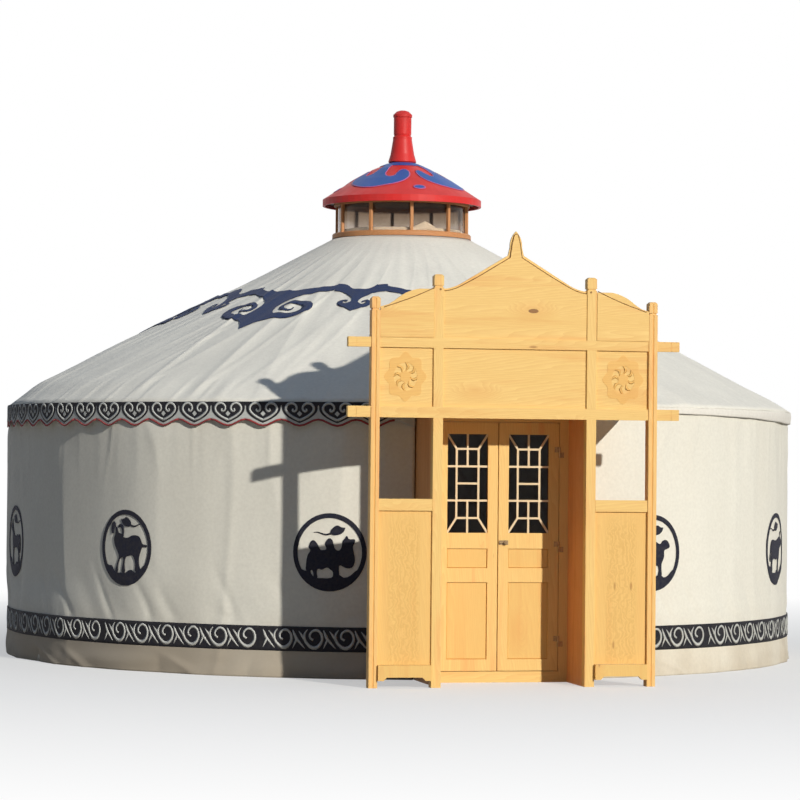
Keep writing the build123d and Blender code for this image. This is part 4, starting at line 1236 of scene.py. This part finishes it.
def petal(turn):
    """A petal that leans a little to one side."""
    knots = ((0.038, 0.044, 0.0, 0.004), (0.066, 0.077, 0.3, 0.012), (0.096, 0.112, 0.0, 0.006))
    return cut_ribbon([(across * sin(turn + lean), up * cos(turn + lean), half_width)
                       for across, up, lean, half_width in knots], 0.30)


hollow = oval_points(0.092, 0.108, 12)
rosette = [
    cut_shape(lobed(0.165, 0.190, PETALS, 0.18), hollow, thickness=0.005, smoothness=2),
    cut_shape(lobed(0.045, 0.050, 6, 0.2), thickness=0.008, smoothness=2),
    *(petal(2 * pi * step / PETALS) for step in range(PETALS))]
frieze_front = front_at("frieze_boards", 0.862, 2.372)
rosette_spots = [(side * 0.862, 2.372, frieze_front) for side in (-1, 1)]
put_on_front("frieze_rosettes", rosette, rosette_spots, pine_carving)

# %% [markdown]
# ## Finish the carpentry
#
# The solid pieces keep their shape and get these materials. A piece's grain runs the way its longest
# side does, so posts, jambs and panels are upright and beams, rails and sills are level.

# %% Give each solid its material
finishes = {
    pine_post: ["outer_posts"],
    pine_upright: ["inner_posts", "door_jambs", "left_door", "right_door"],
    pine_level: ["upper_beam", "lower_beam", "bay_rails", "threshold", "door_lintel"],
    pine_carved: ["bay_panels"],
    pine_panel: ["bay_aprons", "left_door_panels", "right_door_panels"],
    pine_boards: ["frieze_boards", "gable_boards", "porch_ceiling"],
    shaded_passage_pine: ["passage_walls"],
    lath_wood: ["lattice_inner_laths", "lattice_outer_laths", "roof_poles"],
    lantern_wood: ["lantern_posts"],
    lantern_ring_wood: ["lantern_sill", "lantern_head_ring"],
    dark_wood: ["cap_soffit", "crown_ring", "crown_hub", "crown_spokes"],
    pale_bar: ["left_door_bars", "right_door_bars"],
    cap_red: ["lantern_cap", "cap_finial"],
    brown_iron: ["jamb_hinges", "left_door_hinges", "right_door_hinges"],
    dark_bronze: ["door_latch"],
    door_glass: ["left_door_glass", "right_door_glass"],
    lantern_glass: ["lantern_glass"],
}
for material, names in finishes.items():
    for name in names:
        for material_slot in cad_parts[name].material_slots:
            material_slot.material = material
print("solids finished:", sum(len(names) for names in finishes.values()))

# %% [markdown]
# ## Stage
#
# A pale floor carries the shadow and whitens with distance until it meets a white surround. What is seen
# and what lights the tent differ on purpose: the floor looks pale but sends back only as much light as
# trodden earth would, and the surround looks white but lights like a blue sky, stronger overhead than low
# down, so the walls stay dark in the shade.

# %% Lay the floor and the surround
FLOOR_RADIUS = 120.0
EARTH, PALE_FLOOR, WHITE, SKY_BLUE = (0.34, 0.31, 0.27), (0.80, 0.80, 0.79), (1, 1, 1), (0.57, 0.73, 1.0)


def seen_by_eye(tree):
    """1 for rays from the camera, straight, by a reflection or through glass; 0 for rays of light."""
    rays = add_node(tree, "LightPath").outputs
    straight = calculate(tree, "MAXIMUM", rays["Is Camera Ray"], rays["Is Glossy Ray"])
    return calculate(tree, "MAXIMUM", straight, rays["Is Transmission Ray"])


floor_mesh = bmesh.new()
bmesh.ops.create_circle(floor_mesh, cap_ends=True, segments=96, radius=FLOOR_RADIUS)
floor_data = bpy.data.meshes.new("floor")
floor_mesh.to_mesh(floor_data)
floor_mesh.free()
floor = bpy.data.objects.new("floor", floor_data)
bpy.context.scene.collection.objects.link(floor)
floor_paint, tree, floor_shader = new_material("Pale floor", {"Roughness": 0.9, "Specular IOR Level": 0.1})
visible = seen_by_eye(tree)
away = add_node(tree, "VectorMath", {0: place_on(tree)}, operation="LENGTH").outputs["Value"]
fill_in(tree, floor_shader, {"Base Color": mix_colours(tree, visible, EARTH, PALE_FLOOR)})
glow = add_node(tree, "Emission", {"Color": WHITE, "Strength": 1.0})
glowing = product(tree, visible, spread(tree, away, 4.0, 13.0, 0.45, 1.0))
show_mix(tree, "Material Output", glowing, floor_shader, glow)
floor_data.materials.append(floor_paint)

world = bpy.data.worlds.new("Surround")
bpy.context.scene.world = world
world.use_nodes = True
sky = world.node_tree
upward = part_of(sky, add_node(sky, "TexCoord").outputs["Generated"], "Z")
strength = spread(sky, upward, 0.0, 1.0, 0.05, 0.335)
fill = add_node(sky, "Background", {"Color": SKY_BLUE, "Strength": strength})
white = add_node(sky, "Background", {"Color": WHITE, "Strength": 1.0})
show_mix(sky, "World Output", seen_by_eye(sky), fill, white)
print("floor and surround ready")

# %% [markdown]
# ## Light
#
# A low warm key lamp from the right of the door throws the porch's shadow across the left wall. It is a
# sun lamp, since the sun is so far off that its light comes from one side all over the tent.

# %% Light it
KEY_BEARING, KEY_HEIGHT = 21.8, 19.9
key_data = bpy.data.lights.new("key", "SUN")
key_data.energy = 3.26
key_data.color = (1.0, 0.955, 0.87)
key_data.angle = radians(1.2)
key = bpy.data.objects.new("key", key_data)
key_from = on_ring(KEY_BEARING, cos(radians(KEY_HEIGHT)), sin(radians(KEY_HEIGHT)))
key.rotation_euler = key_from.to_track_quat("Z", "Y").to_euler()
bpy.context.scene.collection.objects.link(key)
print("key lamp from", [round(part, 2) for part in key_from])

# %% [markdown]
# ## Camera
#
# The view is from a standing eye, well back and a little to the left of the door, through a long lens
# that keeps the round wall from bulging. It looks up by a degree and leans by half a degree.

# %% Set the camera
VIEW_BEARING, VIEW_DISTANCE, EYE_HEIGHT = -11.92, 27.35, 1.712
LOOK_UP, LEAN = 1.199, 0.544
camera_data = bpy.data.cameras.new("camera")
camera_data.sensor_width = 36.0
camera_data.lens = 135.6
camera_data.clip_end = 500.0
camera = bpy.data.objects.new("camera", camera_data)
bpy.context.scene.collection.objects.link(camera)
turn = Matrix.Rotation(radians(VIEW_BEARING), 4, "Z")
tilt = Matrix.Rotation(radians(90 + LOOK_UP), 4, "X")
roll = Matrix.Rotation(radians(LEAN), 4, "Z")
eye = Matrix.Translation(on_ring(VIEW_BEARING, VIEW_DISTANCE, EYE_HEIGHT))
camera.matrix_world = eye @ turn @ tilt @ roll
bpy.context.scene.camera = camera
bpy.context.scene.view_settings.view_transform = "Standard"
print("camera at", [round(part, 2) for part in camera.matrix_world.translation])
